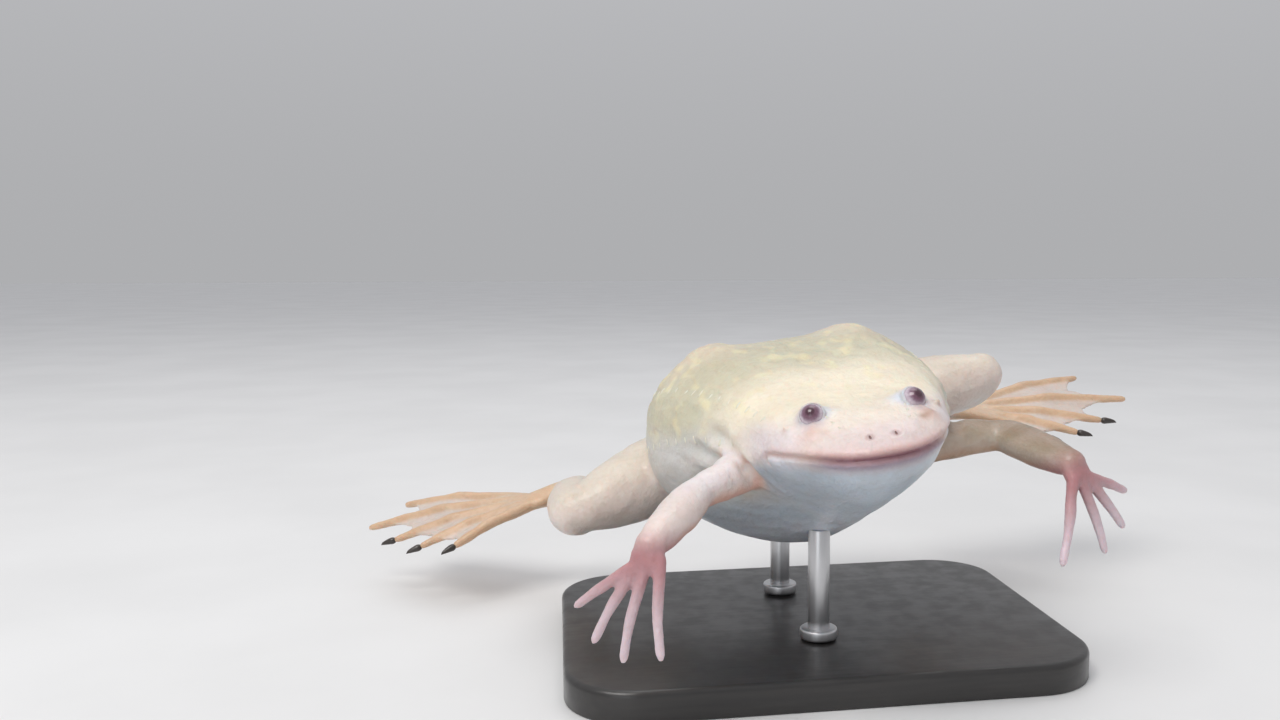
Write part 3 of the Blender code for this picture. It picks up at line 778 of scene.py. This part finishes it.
def shape_face(points, normals):
    """The pouch, feeler and sheen spot by each eye, and raised nostrils."""
    push = np.zeros(len(points))
    for side in (LEFT, RIGHT):
        push += 0.40 * patch(points, on_side(POUCH, side), 1.7)
        push += 0.22 * patch(points, on_side(EYE_SHEEN, side), 1.6)
        push += 0.85 * patch(points, on_side(FEELER, side), 0.45)
        push += 0.08 * bell(distance_from(points, on_side(NOSTRIL_CENTRE, side)), 1.2, 0.6)
    return normals * push[:, None]


def eye_angles(points, side):
    """Each point's way from an eye's centre, its distance, and its angle from the gaze in degrees."""
    away = points - np.array(on_side(EYE_CENTRE, side))
    distance = np.linalg.norm(away, axis=1)
    outward = away / distance[:, None]
    gaze = np.array(on_side(GAZE, side))
    return outward, distance, np.degrees(np.arccos(np.clip(outward @ gaze, -1.0, 1.0)))


def open_lids(points):
    """Draws the skin back from the eye's front and lays a thin soft rim round the opening."""
    points = points.copy()
    for side in (LEFT, RIGHT):
        outward, distance, angle = eye_angles(points, side)
        opened = fade(angle, EYE_OPENING - 5.0, EYE_OPENING + 4.0)
        near = distance < EYE_RADIUS + LID_REACH
        sunk = np.minimum(distance, EYE_RADIUS - 0.5)
        rim = EYE_RADIUS + LID_SWELL * bell(angle, EYE_OPENING + 14.0, 16.0) + LID_GAP
        lid = np.maximum(distance, rim * (angle < EYE_OPENING + 40.0))
        wanted = np.where(near, opened * sunk + (1 - opened) * lid, distance)
        points += outward * (wanted - distance)[:, None]
    return points


def ripples(points, spacing, seed, stretch=(1.0, 1.0, 1.0)):
    """A soft unevenness with bumps about that far apart: many weak waves in seeded directions."""
    dice = np.random.default_rng(seed)
    total = np.zeros(len(points))
    for _ in range(18):
        way = dice.normal(size=3) * np.array(stretch)
        way *= 2 * math.pi * dice.uniform(0.7, 1.4) / (spacing * np.linalg.norm(way))
        total += np.sin(points @ way + dice.uniform(0.0, 2 * math.pi))
    return total / 3.0


def shape_hide(points, normals):
    """Faint creases that run lengthwise over back and flanks, and a soft unevenness of the whole hide."""
    x, y, z = points.T
    body = ramp(y, 26.0, 40.0) * fade(y, 96.0, 102.0) * ramp(z, -12.0, 0.0)
    body *= fade(np.abs(x - side_bend(y)), 31.0, 34.0)
    slanted = np.column_stack((x + 0.35 * np.abs(y - 60.0) * np.sign(x), y, z))
    creases = -0.15 * np.clip(ripples(slanted, 3.4, 11, (1.0, 0.35, 1.0)) - 0.2, 0.0, None)
    lumps = 0.10 * ripples(points, 7.0, 5)
    everywhere = 0.04 * ripples(points, 5.0, 8) * ramp(y, 3.0, 12.0)
    return normals * ((creases + lumps) * body + everywhere)[:, None]


def sculpt(skin):
    points, normals = read_points(skin), read_vectors(skin, "normal")
    moves = shape_mouth(points, normals) + shape_folds(points, normals)
    moves += shape_face(points, normals) + shape_hide(points, normals)
    write_points(skin, open_lids(points + moves))


def open_eyes_and_nostrils(skin):
    for side in (LEFT, RIGHT):
        socket = EYE_RADIUS + 0.03
        cut(skin, ellipsoid("socket", on_side(EYE_CENTRE, side), (socket, socket, socket), 64, 32))
        cut(skin, ellipsoid("nostril", on_side(NOSTRIL_CENTRE, side), NOSTRIL_RADII, 20, 12))


def layered(colour, *layers):
    """The colour with each layer laid over it in turn, a layer being its own colour and its share."""
    for tint, share in layers:
        colour = colour + (tint - colour) * np.clip(share, 0.0, 1.0)[:, None]
    return colour


def arm_shares(points, side):
    """How far each point belongs to one side's arm, hand and fingertips, from 0 to 1."""
    shoulder, elbow, wrist = ARM_JOINTS[side]
    x, y, _ = points.T
    near = distance_to(points, (between(shoulder, elbow, 0.30), elbow, wrist))
    below = distance_to(points, (wrist, Vector(wrist) + Vector((0.0, 0.0, -22.0))))
    past = ramp((points - np.array(wrist)) @ np.array((0.25 * side, -0.15, -0.95)), -3.5, 3.0)
    far_past = ramp((points - np.array(wrist)) @ np.array((0.25 * side, -0.10, -0.95)), 2.5, 14.0)
    in_reach = (y < 32.0) * (side * x > 25.0)
    return {
        "arm": fade(near, 4.2, 6.4),
        "hand": past * (below < 18.0) * in_reach,
        "tip": far_past * in_reach,
    }


def leg_shares(points, side):
    """How far each point belongs to one side's leg, foot and webs, from 0 to 1."""
    hip, knee, ankle = LEG_JOINTS[side]
    x, y, _ = points.T
    near = distance_to(points, (between(hip, knee, 0.55), knee, ankle))
    _, outward, _ = foot_axes(side)
    past = (points - np.array(ankle)) @ np.array(outward)
    off_shank = ramp(distance_to(points, (knee, between(knee, ankle, 0.8))), 7.0, 10.0)
    foot_share = ramp(past, 1.0, 8.0) * (side * x > 38.0) * ramp(y, 80.0, 84.0) * off_shank
    toes = [distance_to(points, toe_path(side, number)[:3]) for number in range(len(TOES))]
    off_toes = ramp(np.minimum.reduce(toes), 1.2, 2.2)
    return {
        "leg": fade(near, 9.0, 13.0),
        "foot": foot_share,
        "web": foot_share * off_toes * ramp(past, 12.0, 17.0),
    }


def limb_shares(points):
    """How far each point belongs to each part of the limbs, from 0 to 1."""
    left, right = ({**arm_shares(points, side), **leg_shares(points, side)} for side in (LEFT, RIGHT))
    return {part: np.maximum(left[part], right[part]) for part in left}


def tint_body(points, normals, on_trunk):
    """Cream head, olive back with peach humps, grey flanks, pink snout and cheeks, and a cool blue-grey
    underside, partly painted shade, with painted light on the lowest belly.
    """
    x, y, z = points.T
    over = z - head_level(y)
    humps = bell(np.abs(x - side_bend(y)), 16.0, 9.0) * bell(y, 74.0, 16.0) * ramp(normals[:, 2], 0.1, 0.8)
    beside = ramp(np.abs(normals[:, 0]), 0.25, 0.85) * ramp(y, 26.0, 40.0) * ramp(-over, -9.0, -2.0)
    cheek = ramp(y, 4.0, 12.0) * fade(y, 18.0, 34.0) * fade(over, 2.5, 7.5)
    return layered(
        np.tile(CREAM, (len(points), 1)),
        (OLIVE, 0.92 * ramp(y, 27.0, 45.0) * ramp(over, -9.0, 2.0) * on_trunk),
        (PEACH, 0.75 * humps),
        (FLANK_GREY, 0.9 * beside * on_trunk),
        (PEACH, 0.8 * ramp(y, 99.0, 101.5) * on_trunk),
        (CHEEK, 0.8 * cheek),
        (SNOUT_PINK, 0.75 * fade(y, 2.0, 13.0) * fade(over, 3.5, 6.5)),
        # The underside's cool blue-grey on throat and belly: partly its own pale colour, partly painted cool
        # shade
        (UNDERSIDE_WHITE_AND_SHADE, ramp(-over, 0.4, 3.5) * fade(y, 26.0, 40.0) * on_trunk),
        (UNDERSIDE_WHITE_AND_SHADE, ramp(-over, 5.0, 12.0) * ramp(y, 22.0, 36.0) * on_trunk),
        # Painted light from below, lightening the lowest part of the belly
        (JOWL_WHITE, 0.7 * ramp(-over, 12.0, 18.0) * on_trunk),
    )


def tint_mouth(colour, points):
    """Salmon lip, mauve chin and white jowl about a line that is maroon in front and rusty behind."""
    over, near, on_head = mouth_places(points)
    y = points[:, 1]
    reach = fade(y, MOUTH_CORNER - 4.0, MOUTH_CORNER + 1.0)
    front = fade(y, 1.5, 9.0)
    line = np.exp(-((near / (0.46 + 0.30 * front)) ** 2)) * on_head
    return layered(
        colour,
        (LIP_SALMON, (0.28 + 0.22 * front) * bell(over, 0.8, 1.0) * on_head * reach),
        (CHIN_MAUVE, 0.95 * bell(over, -1.0, 1.3) * on_head * fade(y, 3.0, 12.0)),
        (JOWL_WHITE, 0.9 * bell(over, -1.8, 1.5) * bell(y, 15.6, 4.0) * on_head),
        (LIP_RUST, 0.42 * line),
        (LIP_MAROON, line * (0.02 + 0.86 * front)),
    )


def tint_face(colour, points, side):
    """Lilac lids, marks and a painted bluish sheen by the eye, stronger on the left, and painted shade in the
    nostril and armpit.
    """
    _, away, _ = eye_angles(points, side)
    on_left = side == LEFT
    pouch, feeler, sheen = (on_side(spot, side) for spot in (POUCH, FEELER, EYE_SHEEN))
    mark = distance_to(points, (on_side(EYE_MARK, side), pouch))
    depth = distance_from(points, on_side(NOSTRIL_CENTRE, side))
    armpit = Vector(ARM_JOINTS[side][0]) + Vector((side * 3.0, -5.5, -5.0))
    return layered(
        colour,
        (LID_LILAC, 0.70 * fade(away, EYE_RADIUS + 0.1, EYE_RADIUS + 1.7)),
        (LIP_SALMON, 0.40 * patch(points, pouch, 2.3)),
        (MARK_BROWN, (0.18 + 0.50 * on_left) * bell(mark, 0.0, 0.8)),
        (MARK_BROWN, (0.20 + 0.45 * on_left) * patch(points, feeler, 1.2)),
        # Painted highlight: a bluish sheen beside each eye, stronger on the left
        (SHEEN_BLUE, (0.45 + 0.35 * on_left) * patch(points, sheen, 1.9)),
        # Painted shade in the nostril's pit and round its rim
        (NOSTRIL_SHADE, 0.6 * fade(depth, 0.60, 0.95)),
        # Brown painted shade in the crease in front of and below the shoulder
        (ARMPIT_SHADE, 0.40 * patch(points, armpit, 5.0)),
    )


def tint_limbs(colour, points, normals, shares):
    """Pink arms, the right one with painted light on top of its upper part, the left one olive brown and
    mottled, partly painted shade; pink thighs, red palms, pale fingertips and tan toes.
    """
    x, upward = points[:, 0], normals[:, 2]
    arm, leg, on_left = shares["arm"], shares["leg"], x > 0.0
    upper = bell(distance_to(points, ARM_JOINTS[RIGHT][:2]), 0.0, 7.0)
    mottled = ramp(ripples(points, 6.0, 21), -0.8, 1.2) * ramp(x, 20.0, 26.0) * ramp(upward, -0.3, 0.5)
    return layered(
        colour,
        (ARM_PINK, arm),
        (ARM_SALMON, arm * 0.8 * ramp(-upward, 0.1, 0.8)),
        # Painted light: the top of the right upper arm is whitened
        (SHOULDER_PAINTED_LIGHT, 0.8 * upper * ramp(upward, -0.2, 0.6) * ramp(-x, 19.0, 22.0)),
        # The left arm's olive brown, darker on top: partly its own colour, partly painted shade
        (ARM_OLIVE_AND_SHADE, arm * (0.55 + 0.20 * mottled) * on_left),
        (ARM_BROWN_AND_SHADE, 0.55 * arm * on_left * ramp(upward, 0.25, 0.95)),
        (THIGH_PINK, leg * 0.85),
        (OLIVE, leg * 0.35 * ramp(upward, 0.0, 0.8)),
        (PALM_RED, shares["hand"]),
        (TIP_LAVENDER, shares["tip"]),
        (TOE_TAN, shares["foot"]),
        (WEB_GREY, shares["web"]),
    )


def tint_skin(skin):
    """Stores the hide's colour at each point, and how strongly the yellow spots show there."""
    points, normals = read_points(skin), read_vectors(skin, "normal")
    shares = limb_shares(points)
    on_trunk = 1 - np.maximum.reduce([shares[part] for part in ("arm", "hand", "leg", "foot")])
    colour = tint_mouth(tint_body(points, normals, on_trunk), points)
    for side in (LEFT, RIGHT):
        colour = tint_face(colour, points, side)
    colour = tint_limbs(colour, points, normals, shares)
    store(skin, "tint", np.column_stack((np.clip(colour, 0.0, 1.0), np.ones(len(points)))))
    over = points[:, 2] - head_level(points[:, 1])
    store(skin, "spotted", ramp(points[:, 1], 17.0, 32.0) * ramp(over, 2.0, 8.0) * on_trunk)


def store(thing, name, values):
    """Keeps a number or a colour for each point of the mesh."""
    kind = "FLOAT" if values.ndim == 1 else "FLOAT_COLOR"
    attribute = thing.data.attributes.new(name, kind, "POINT")
    field = "value" if values.ndim == 1 else "color"
    attribute.data.foreach_set(field, values.astype(np.float32).ravel())


def swim_pose():
    """The matrix that tips the frog and lifts it over the stand."""
    turn = Matrix.Rotation(PITCH, 4, "X") @ Matrix.Rotation(ROLL, 4, "Y")
    raised = Matrix.Translation(Vector((0.0, 0.0, SWIM_HEIGHT)) * MM)
    return raised @ turn @ Matrix.Translation(-BALANCE_POINT * MM)


def finish_piece(thing, name, nodes, material, degrees=60):
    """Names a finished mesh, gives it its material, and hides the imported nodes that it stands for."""
    thing.name = name
    thing.data.name = name
    thing.data.materials.clear()
    thing.data.materials.append(material)
    select_only(thing)
    bpy.ops.object.shade_smooth_by_angle(angle=math.radians(degrees))
    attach(thing, "root")
    if nodes:
        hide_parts(*nodes)
    return thing


def place_piece(thing, name, nodes, material):
    """Carries a mesh from the frog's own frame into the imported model's, and finishes it."""
    thing.data.transform(swim_pose())
    return finish_piece(thing, name, nodes, material)


def new_node(tree, kind, **values):
    return set_up(tree.nodes.new(kind), **values)


def noise(tree, coordinates, scale, detail=3.0, stretch=None):
    """A noise of that many waves a metre, stretched if asked, as its output socket."""
    field = new_node(tree, "ShaderNodeTexNoise")
    field.inputs["Scale"].default_value = scale
    field.inputs["Detail"].default_value = detail
    source = coordinates
    if stretch:
        mapping = new_node(tree, "ShaderNodeMapping")
        mapping.inputs["Rotation"].default_value = [math.radians(angle) for angle in stretch[0]]
        mapping.inputs["Scale"].default_value = stretch[1]
        tree.links.new(source, mapping.inputs["Vector"])
        source = mapping.outputs["Vector"]
    tree.links.new(source, field.inputs["Vector"])
    return field.outputs["Fac"]


def graded(tree, source, low, high, bottom=0.0, top=1.0):
    """The source's part between low and high, stretched from bottom to top."""
    node = new_node(tree, "ShaderNodeMapRange", interpolation_type="SMOOTHSTEP")
    node.inputs["From Min"].default_value = low
    node.inputs["From Max"].default_value = high
    node.inputs["To Min"].default_value = bottom
    node.inputs["To Max"].default_value = top
    tree.links.new(source, node.inputs["Value"])
    return node.outputs["Result"]


def reckoned(tree, operation, first, second):
    """The sum or product of two values, each a socket or a number."""
    node = new_node(tree, "ShaderNodeMath", operation=operation)
    for socket, value in zip(node.inputs, (first, second)):
        if isinstance(value, (int, float)):
            socket.default_value = value
        else:
            tree.links.new(value, socket)
    return node.outputs["Value"]


def blended(tree, share, first, second, kind="MIX"):
    """Two colours mixed by a share, each a socket or a colour."""
    node = new_node(tree, "ShaderNodeMix", data_type="RGBA", blend_type=kind)
    for socket, value in ((node.inputs[0], share), (node.inputs[6], first), (node.inputs[7], second)):
        if hasattr(value, "is_output"):
            tree.links.new(value, socket)
        elif isinstance(value, (int, float)):
            socket.default_value = value
        else:
            socket.default_value = (*value, 1.0)
    return node.outputs[2]


def new_finish(name, roughness, **sockets):
    """A material with its shader's fixed values set, and its tree, shader and object coordinates."""
    material = bpy.data.materials.new(name)
    material.use_nodes = True
    tree = material.node_tree
    shader = tree.nodes["Principled BSDF"]
    shader.inputs["Roughness"].default_value = roughness
    for socket, value in sockets.items():
        shader.inputs[socket.replace("_", " ")].default_value = value
    coordinates = new_node(tree, "ShaderNodeTexCoord").outputs["Object"]
    return material, tree, shader, coordinates


def bumped(tree, shader, height, distance):
    """Raises the surface's shading by a height, up to that distance in millimetres."""
    bump = new_node(tree, "ShaderNodeBump")
    bump.inputs["Strength"].default_value = 1.0
    bump.inputs["Distance"].default_value = distance * MM
    tree.links.new(height, bump.inputs["Height"])
    tree.links.new(bump.outputs["Normal"], shader.inputs["Normal"])


def attribute(tree, name, socket="Color"):
    return new_node(tree, "ShaderNodeAttribute", attribute_name=name).outputs[socket]


def skin_finish():
    """Smooth wet bare skin: mottled colour, soft yellow spots, fine pores and a water film."""
    material, tree, shader, place = new_finish(
        "wet_skin",
        0.42,
        Subsurface_Weight=0.35,
        Subsurface_Radius=(1.0, 0.42, 0.28),
        Subsurface_Scale=0.0022,
        Coat_Weight=0.28,
        Coat_Roughness=0.22,
        IOR=1.42,
    )
    colour = attribute(tree, "tint")
    spots = noise(tree, place, 250.0, 1.0, ((0.0, 0.0, 24.0), (1.0, 0.55, 1.0)))
    on_back = attribute(tree, "spotted", "Fac")
    spot_share = reckoned(tree, "MULTIPLY", graded(tree, spots, 0.54, 0.70), on_back)
    colour = blended(tree, reckoned(tree, "MULTIPLY", spot_share, 0.50), colour, SPOT_YELLOW)
    broad = graded(tree, noise(tree, place, 90.0, 4.0), 0.35, 0.7, 0.0, 0.22)
    colour = blended(tree, broad, colour, SKIN_CLOUD, "MULTIPLY")
    fine = graded(tree, noise(tree, place, 900.0, 4.0), 0.4, 0.8, 0.0, 0.20)
    colour = blended(tree, fine, colour, SKIN_FLECK, "MULTIPLY")
    tree.links.new(colour, shader.inputs["Base Color"])
    gloss = graded(tree, noise(tree, place, 400.0, 3.0), 0.3, 0.7, 0.34, 0.48)
    tree.links.new(gloss, shader.inputs["Roughness"])
    pores = graded(tree, noise(tree, place, 1500.0, 3.0), 0.3, 0.8, 0.0, 0.35)
    creases = graded(tree, noise(tree, place, 330.0, 4.0, ((0.0, 0.0, 30.0), (1.0, 0.35, 1.0))), 0.3, 0.7)
    bumped(tree, shader, reckoned(tree, "ADD", pores, creases), 0.16)
    return material


def eye_finish():
    """A dark maroon eye with a pale lavender ring, under a clear wet front."""
    material, tree, shader, place = new_finish("clear_eye", 0.22, Coat_Weight=0.6, Coat_Roughness=0.06)
    colour = attribute(tree, "tint")
    streaks = graded(tree, noise(tree, place, 2600.0, 3.0), 0.35, 0.7, 0.0, 0.35)
    colour = blended(tree, streaks, colour, IRIS_STREAK, "MULTIPLY")
    tree.links.new(colour, shader.inputs["Base Color"])
    return material


def horn_finish():
    """Near-black claw horn with fine lengthwise streaks."""
    material, tree, shader, place = new_finish("black_horn", 0.3, Coat_Weight=0.3, Coat_Roughness=0.12)
    streaks = noise(tree, place, 1800.0, 4.0, ((0.0, 0.0, 0.0), (0.3, 1.0, 1.0)))
    colour = blended(tree, streaks, *HORN_SHADES)
    tree.links.new(colour, shader.inputs["Base Color"])
    bumped(tree, shader, streaks, 0.05)
    return material


def stitch_finish():
    """The raised pale-yellow bars of the lateral line, as wet as the skin."""
    material, tree, shader, place = new_finish(
        "stitch_skin",
        0.32,
        Subsurface_Weight=0.3,
        Subsurface_Radius=(1.0, 0.5, 0.3),
        Subsurface_Scale=0.0015,
        Coat_Weight=0.45,
        Coat_Roughness=0.14,
    )
    colour = blended(tree, noise(tree, place, 500.0, 2.0), *STITCH_SHADES)
    tree.links.new(colour, shader.inputs["Base Color"])
    bumped(tree, shader, noise(tree, place, 1600.0), 0.04)
    return material


def board_finish():
    """Satin black lacquer with a faint grain and dust-fine texture."""
    material, tree, shader, place = new_finish("satin_board", 0.34, Coat_Weight=0.25, Coat_Roughness=0.2)
    grain = noise(tree, place, 60.0, 6.0, ((0.0, 0.0, 0.0), (1.0, 14.0, 14.0)))
    colour = blended(tree, grain, *BOARD_SHADES)
    tree.links.new(colour, shader.inputs["Base Color"])
    tree.links.new(graded(tree, noise(tree, place, 220.0), 0.3, 0.7, 0.28, 0.42), shader.inputs["Roughness"])
    bumped(tree, shader, grain, 0.03)
    return material


def steel_finish():
    """Brushed steel with fine lines along the rods."""
    material, tree, shader, place = new_finish("brushed_steel", 0.34, Metallic=1.0)
    lines = noise(tree, place, 700.0, 2.0, ((0.0, 0.0, 0.0), (14.0, 14.0, 0.3)))
    colour = blended(tree, lines, *STEEL_SHADES)
    tree.links.new(colour, shader.inputs["Base Color"])
    tree.links.new(graded(tree, lines, 0.2, 0.8, 0.32, 0.38), shader.inputs["Roughness"])
    return material


def make_skin(material):
    skin = join_limbs(trunk())
    refine_head(skin)
    sculpt(skin)
    open_eyes_and_nostrils(skin)
    tint_skin(skin)
    nodes = ["head", "torso"]
    for side in ("left", "right"):
        nodes += [part + side for part in ("upper_arm_", "forearm_", "hand_", "thigh_", "shank_", "foot_")]
    return place_piece(skin, "skin", nodes, material)


def make_eye(side, material):
    """A ball with a pupil, a dark iris and a pale outer ring about the way it looks."""
    ball = ellipsoid("ball", on_side(EYE_CENTRE, side), (EYE_RADIUS, EYE_RADIUS, EYE_RADIUS), 64, 48)
    points = read_points(ball)
    outward, _, angle = eye_angles(points, side)
    bulge = 0.15 * bell(angle, 0.0, 30.0)
    write_points(ball, points + outward * bulge[:, None])
    colour = layered(
        np.tile(EYE_RIM, (len(points), 1)),
        (IRIS_PLUM, fade(angle, 36.0, 56.0)),
        (IRIS_MAROON, 0.8 * bell(angle, 26.0, 10.0)),
        (PUPIL, fade(angle, 15.0, 27.0)),
    )
    store(ball, "tint", np.column_stack((colour, np.ones(len(points)))))
    return place_piece(ball, "eyeball_" + SIDE_NAMES[side], ["eye_" + SIDE_NAMES[side]], material)


def make_claw(side, number, material):
    """A curved horn cap on the end of an inner toe."""
    _, _, tip, heading, _ = toe_path(side, number)
    start = tip - heading * 1.6
    droop = Vector((0.0, 0.0, -0.35))
    rows = (
        (*start, 0.80, 0.80),
        (*(start + heading * 0.9), 0.92, 0.92),
        (*(start + heading * 1.7), 0.78, 0.78),
        (*(start + heading * 3.2 + droop * 0.3), 0.46, 0.46),
        (*(start + heading * (1.1 + CLAW_LENGTH) + droop), 0.16, 0.16),
    )
    name = f"{SIDE_NAMES[side]}_{number + 1}"
    return place_piece(limb("claw", rows, 16, 24), "horn_claw_" + name, ["claw_" + name], material)


def stitch_rows(side):
    """Places of the stitches on the body form: distance behind the snout and angle round it."""
    rows = []
    for step in range(22):
        rows.append((21.0 + 3.3 * step, 34.0 + 6.0 * math.sin(0.25 * step), 90.0))
    for step in range(17):
        rows.append((30.0 + 3.8 * step, 4.0 + 3.0 * math.sin(0.4 * step), 90.0))
    for step in range(5):
        rows.append((6.5 + 2.2 * step, 66.0 + 2.0 * step, 0.0))
    return [(distance, angle if side == LEFT else 180.0 - angle, turn) for distance, angle, turn in rows]


def make_stitches(skin, material):
    """The lateral-line stitches, each a small raised bar laid on the skin, joined as one piece."""
    surface = BVHTree.FromObject(skin, bpy.context.evaluated_depsgraph_get())
    pose = swim_pose()
    bars = []
    for side in (LEFT, RIGHT):
        for distance, angle, turn in stitch_rows(side):
            spot = body_point(body_share(distance), math.radians(angle))
            ahead = body_point(body_share(distance + 1.0), math.radians(angle))
            where, normal, _, _ = surface.find_nearest(pose @ (spot * MM))
            along = (pose.to_3x3() @ (ahead - spot)).normalized()
            bars.append(stitch(where, normal, along, turn, distance))
    deselect()
    for bar in bars:
        bar.select_set(True)
    bpy.context.view_layer.objects.active = bars[0]
    bpy.ops.object.join()
    return finish_piece(bpy.context.object, "lateral_stitches", (), material)


def stitch(where, normal, along, turn, distance):
    """One bar under two millimetres long, half sunk in the skin, across or along its row."""
    bpy.ops.mesh.primitive_uv_sphere_add(segments=10, ring_count=6)
    bar = bpy.context.object
    forward = (along - normal * along.dot(normal)).normalized()
    aside = normal.cross(forward)
    swing = math.radians(turn + 14.0 * math.sin(1.7 * distance))
    length_way = forward * math.cos(swing) + aside * math.sin(swing)
    width_way = normal.cross(length_way)
    size = (1.0 + 0.15 * math.sin(2.3 * distance)) * (FACE_SIZE if distance < FACE_REACH else 1.0)
    for vertex in bar.data.vertices:
        spot = length_way * (vertex.co.x * STITCH_LENGTH * size)
        spot += width_way * (vertex.co.y * STITCH_WIDTH * size)
        spot += normal * (vertex.co.z * STITCH_RISE - STITCH_SINK)
        vertex.co = where + spot * MM
    return bar


def box_between(low, high):
    """A box between two corners, in metres."""
    bpy.ops.mesh.primitive_cube_add(size=1.0, location=(low + high) / 2, scale=high - low)
    bpy.ops.object.transform_apply(location=True, scale=True)
    return bpy.context.object


def bevel_edges(thing, wanted, width, segments):
    """Rounds the edges of the thing for which wanted(first end, second end) holds."""
    select_only(thing)
    enter("EDIT")
    bpy.ops.mesh.select_all(action="DESELECT")
    bpy.ops.mesh.select_mode(type="EDGE")
    enter("OBJECT")
    spots = [vertex.co for vertex in thing.data.vertices]
    for edge in thing.data.edges:
        edge.select = wanted(spots[edge.vertices[0]], spots[edge.vertices[1]])
    enter("EDIT")
    bpy.ops.mesh.bevel(offset=width * MM, segments=segments, profile=0.5, affect="EDGES")
    enter("OBJECT")


def make_stand_plate(material):
    """The lacquered plate, with round corners, a soft upper edge and a finer lower one."""
    low, high = (Vector(corner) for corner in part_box("stand_base"))
    plate = box_between(low, high)
    bevel_edges(plate, lambda a, b: abs(a.z - b.z) > MM, PLATE_CORNER, 20)
    bevel_edges(plate, lambda a, b: min(a.z, b.z) > high.z - 0.1 * MM, PLATE_EDGE, 4)
    bevel_edges(plate, lambda a, b: max(a.z, b.z) < low.z + 0.1 * MM, 0.4, 2)
    finish_piece(plate, "stand_plate", ["stand_base"], material, STAND_SHARP)


def round_post(centre, radius, foot, top, edge, segments):
    """An upright round bar from its foot's height to its top's, in metres, with its rims bevelled."""
    middle = (centre.x, centre.y, (foot + top) / 2)
    bpy.ops.mesh.primitive_cylinder_add(vertices=64, radius=radius, depth=top - foot, location=middle)
    bpy.ops.object.transform_apply(location=True)
    bar = bpy.context.object
    bevel_edges(bar, lambda a, b: abs(a.z - b.z) < 0.01 * MM, edge, segments)
    return bar


def make_stand_post(name, material):
    """An upright rod let into a small bevelled collar on the plate."""
    low, high = (Vector(corner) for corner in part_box("stand_rod_" + name))
    centre, radius = (low + high) / 2, (high.x - low.x) / 2
    post = round_post(centre, radius, low.z, high.z, 0.25, 2)
    finish_piece(post, "stand_post_" + name, ["stand_rod_" + name], material, STAND_SHARP)
    collar_top = low.z + COLLAR_HEIGHT * MM
    collar = round_post(centre, radius + COLLAR_RIM * MM, low.z, collar_top, 0.5, 4)
    finish_piece(collar, "stand_collar_" + name, (), material, STAND_SHARP)


def make_floor():
    bpy.ops.mesh.primitive_plane_add(size=8.0)
    floor = bpy.context.object
    floor.name = "floor"
    material, tree, shader, place = new_finish("pale_floor", 0.6)
    grain = graded(tree, noise(tree, place, 14.0, 5.0), 0.3, 0.7)
    tree.links.new(blended(tree, grain, *FLOOR_SHADES), shader.inputs["Base Color"])
    floor.data.materials.append(material)


def make_lamp(name, place, size, power, colour):
    """A round area lamp that points at the model."""
    light = set_up(bpy.data.lights.new(name, "AREA"), shape="DISK", size=size, energy=power, color=colour)
    lamp = bpy.data.objects.new(name, light)
    bpy.context.scene.collection.objects.link(lamp)
    lamp.location = place
    lamp.rotation_euler = (LAMP_TARGET - Vector(place)).to_track_quat("-Z", "Y").to_euler()


def make_studio():
    world = bpy.data.worlds.new("studio")
    world.use_nodes = True
    tree = world.node_tree
    background = tree.nodes["Background"]
    height = new_node(tree, "ShaderNodeSeparateXYZ")
    tree.links.new(new_node(tree, "ShaderNodeTexCoord").outputs["Generated"], height.inputs["Vector"])
    sky = graded(tree, height.outputs["Z"], 0.0, 0.5)
    tree.links.new(blended(tree, sky, HORIZON, ZENITH), background.inputs["Color"])
    background.inputs["Strength"].default_value = 1.0
    bpy.context.scene.world = world
    bpy.context.scene.view_settings.view_transform = "Standard"
    for name, (place, size, power, colour) in LAMPS.items():
        make_lamp(name, place, size, power, colour)


def make_camera():
    data = set_up(bpy.data.cameras.new("camera"), sensor_width=36.0, lens=CAMERA_LENS)
    data.shift_x, data.shift_y = CAMERA_SHIFT
    camera = bpy.data.objects.new("camera", data)
    bpy.context.scene.collection.objects.link(camera)
    yaw, tilt, roll = (math.radians(angle) for angle in CAMERA_TURN)
    turn = Matrix.Rotation(-yaw, 4, "Z") @ Matrix.Rotation(math.pi / 2 - tilt, 4, "X")
    turn = turn @ Matrix.Rotation(roll, 4, "Z")
    camera.matrix_world = Matrix.Translation(CAMERA_PLACE * MM) @ turn
    bpy.context.scene.camera = camera


def dress():
    make_camera()
    make_floor()
    make_studio()
    skin = make_skin(skin_finish())
    make_stitches(skin, stitch_finish())
    eyes, horn = eye_finish(), horn_finish()
    for side in (LEFT, RIGHT):
        make_eye(side, eyes)
        for number in range(CLAWED_TOES):
            make_claw(side, number, horn)
    make_stand_plate(board_finish())
    steel = steel_finish()
    for name in ("front", "rear"):
        make_stand_post(name, steel)


dress()
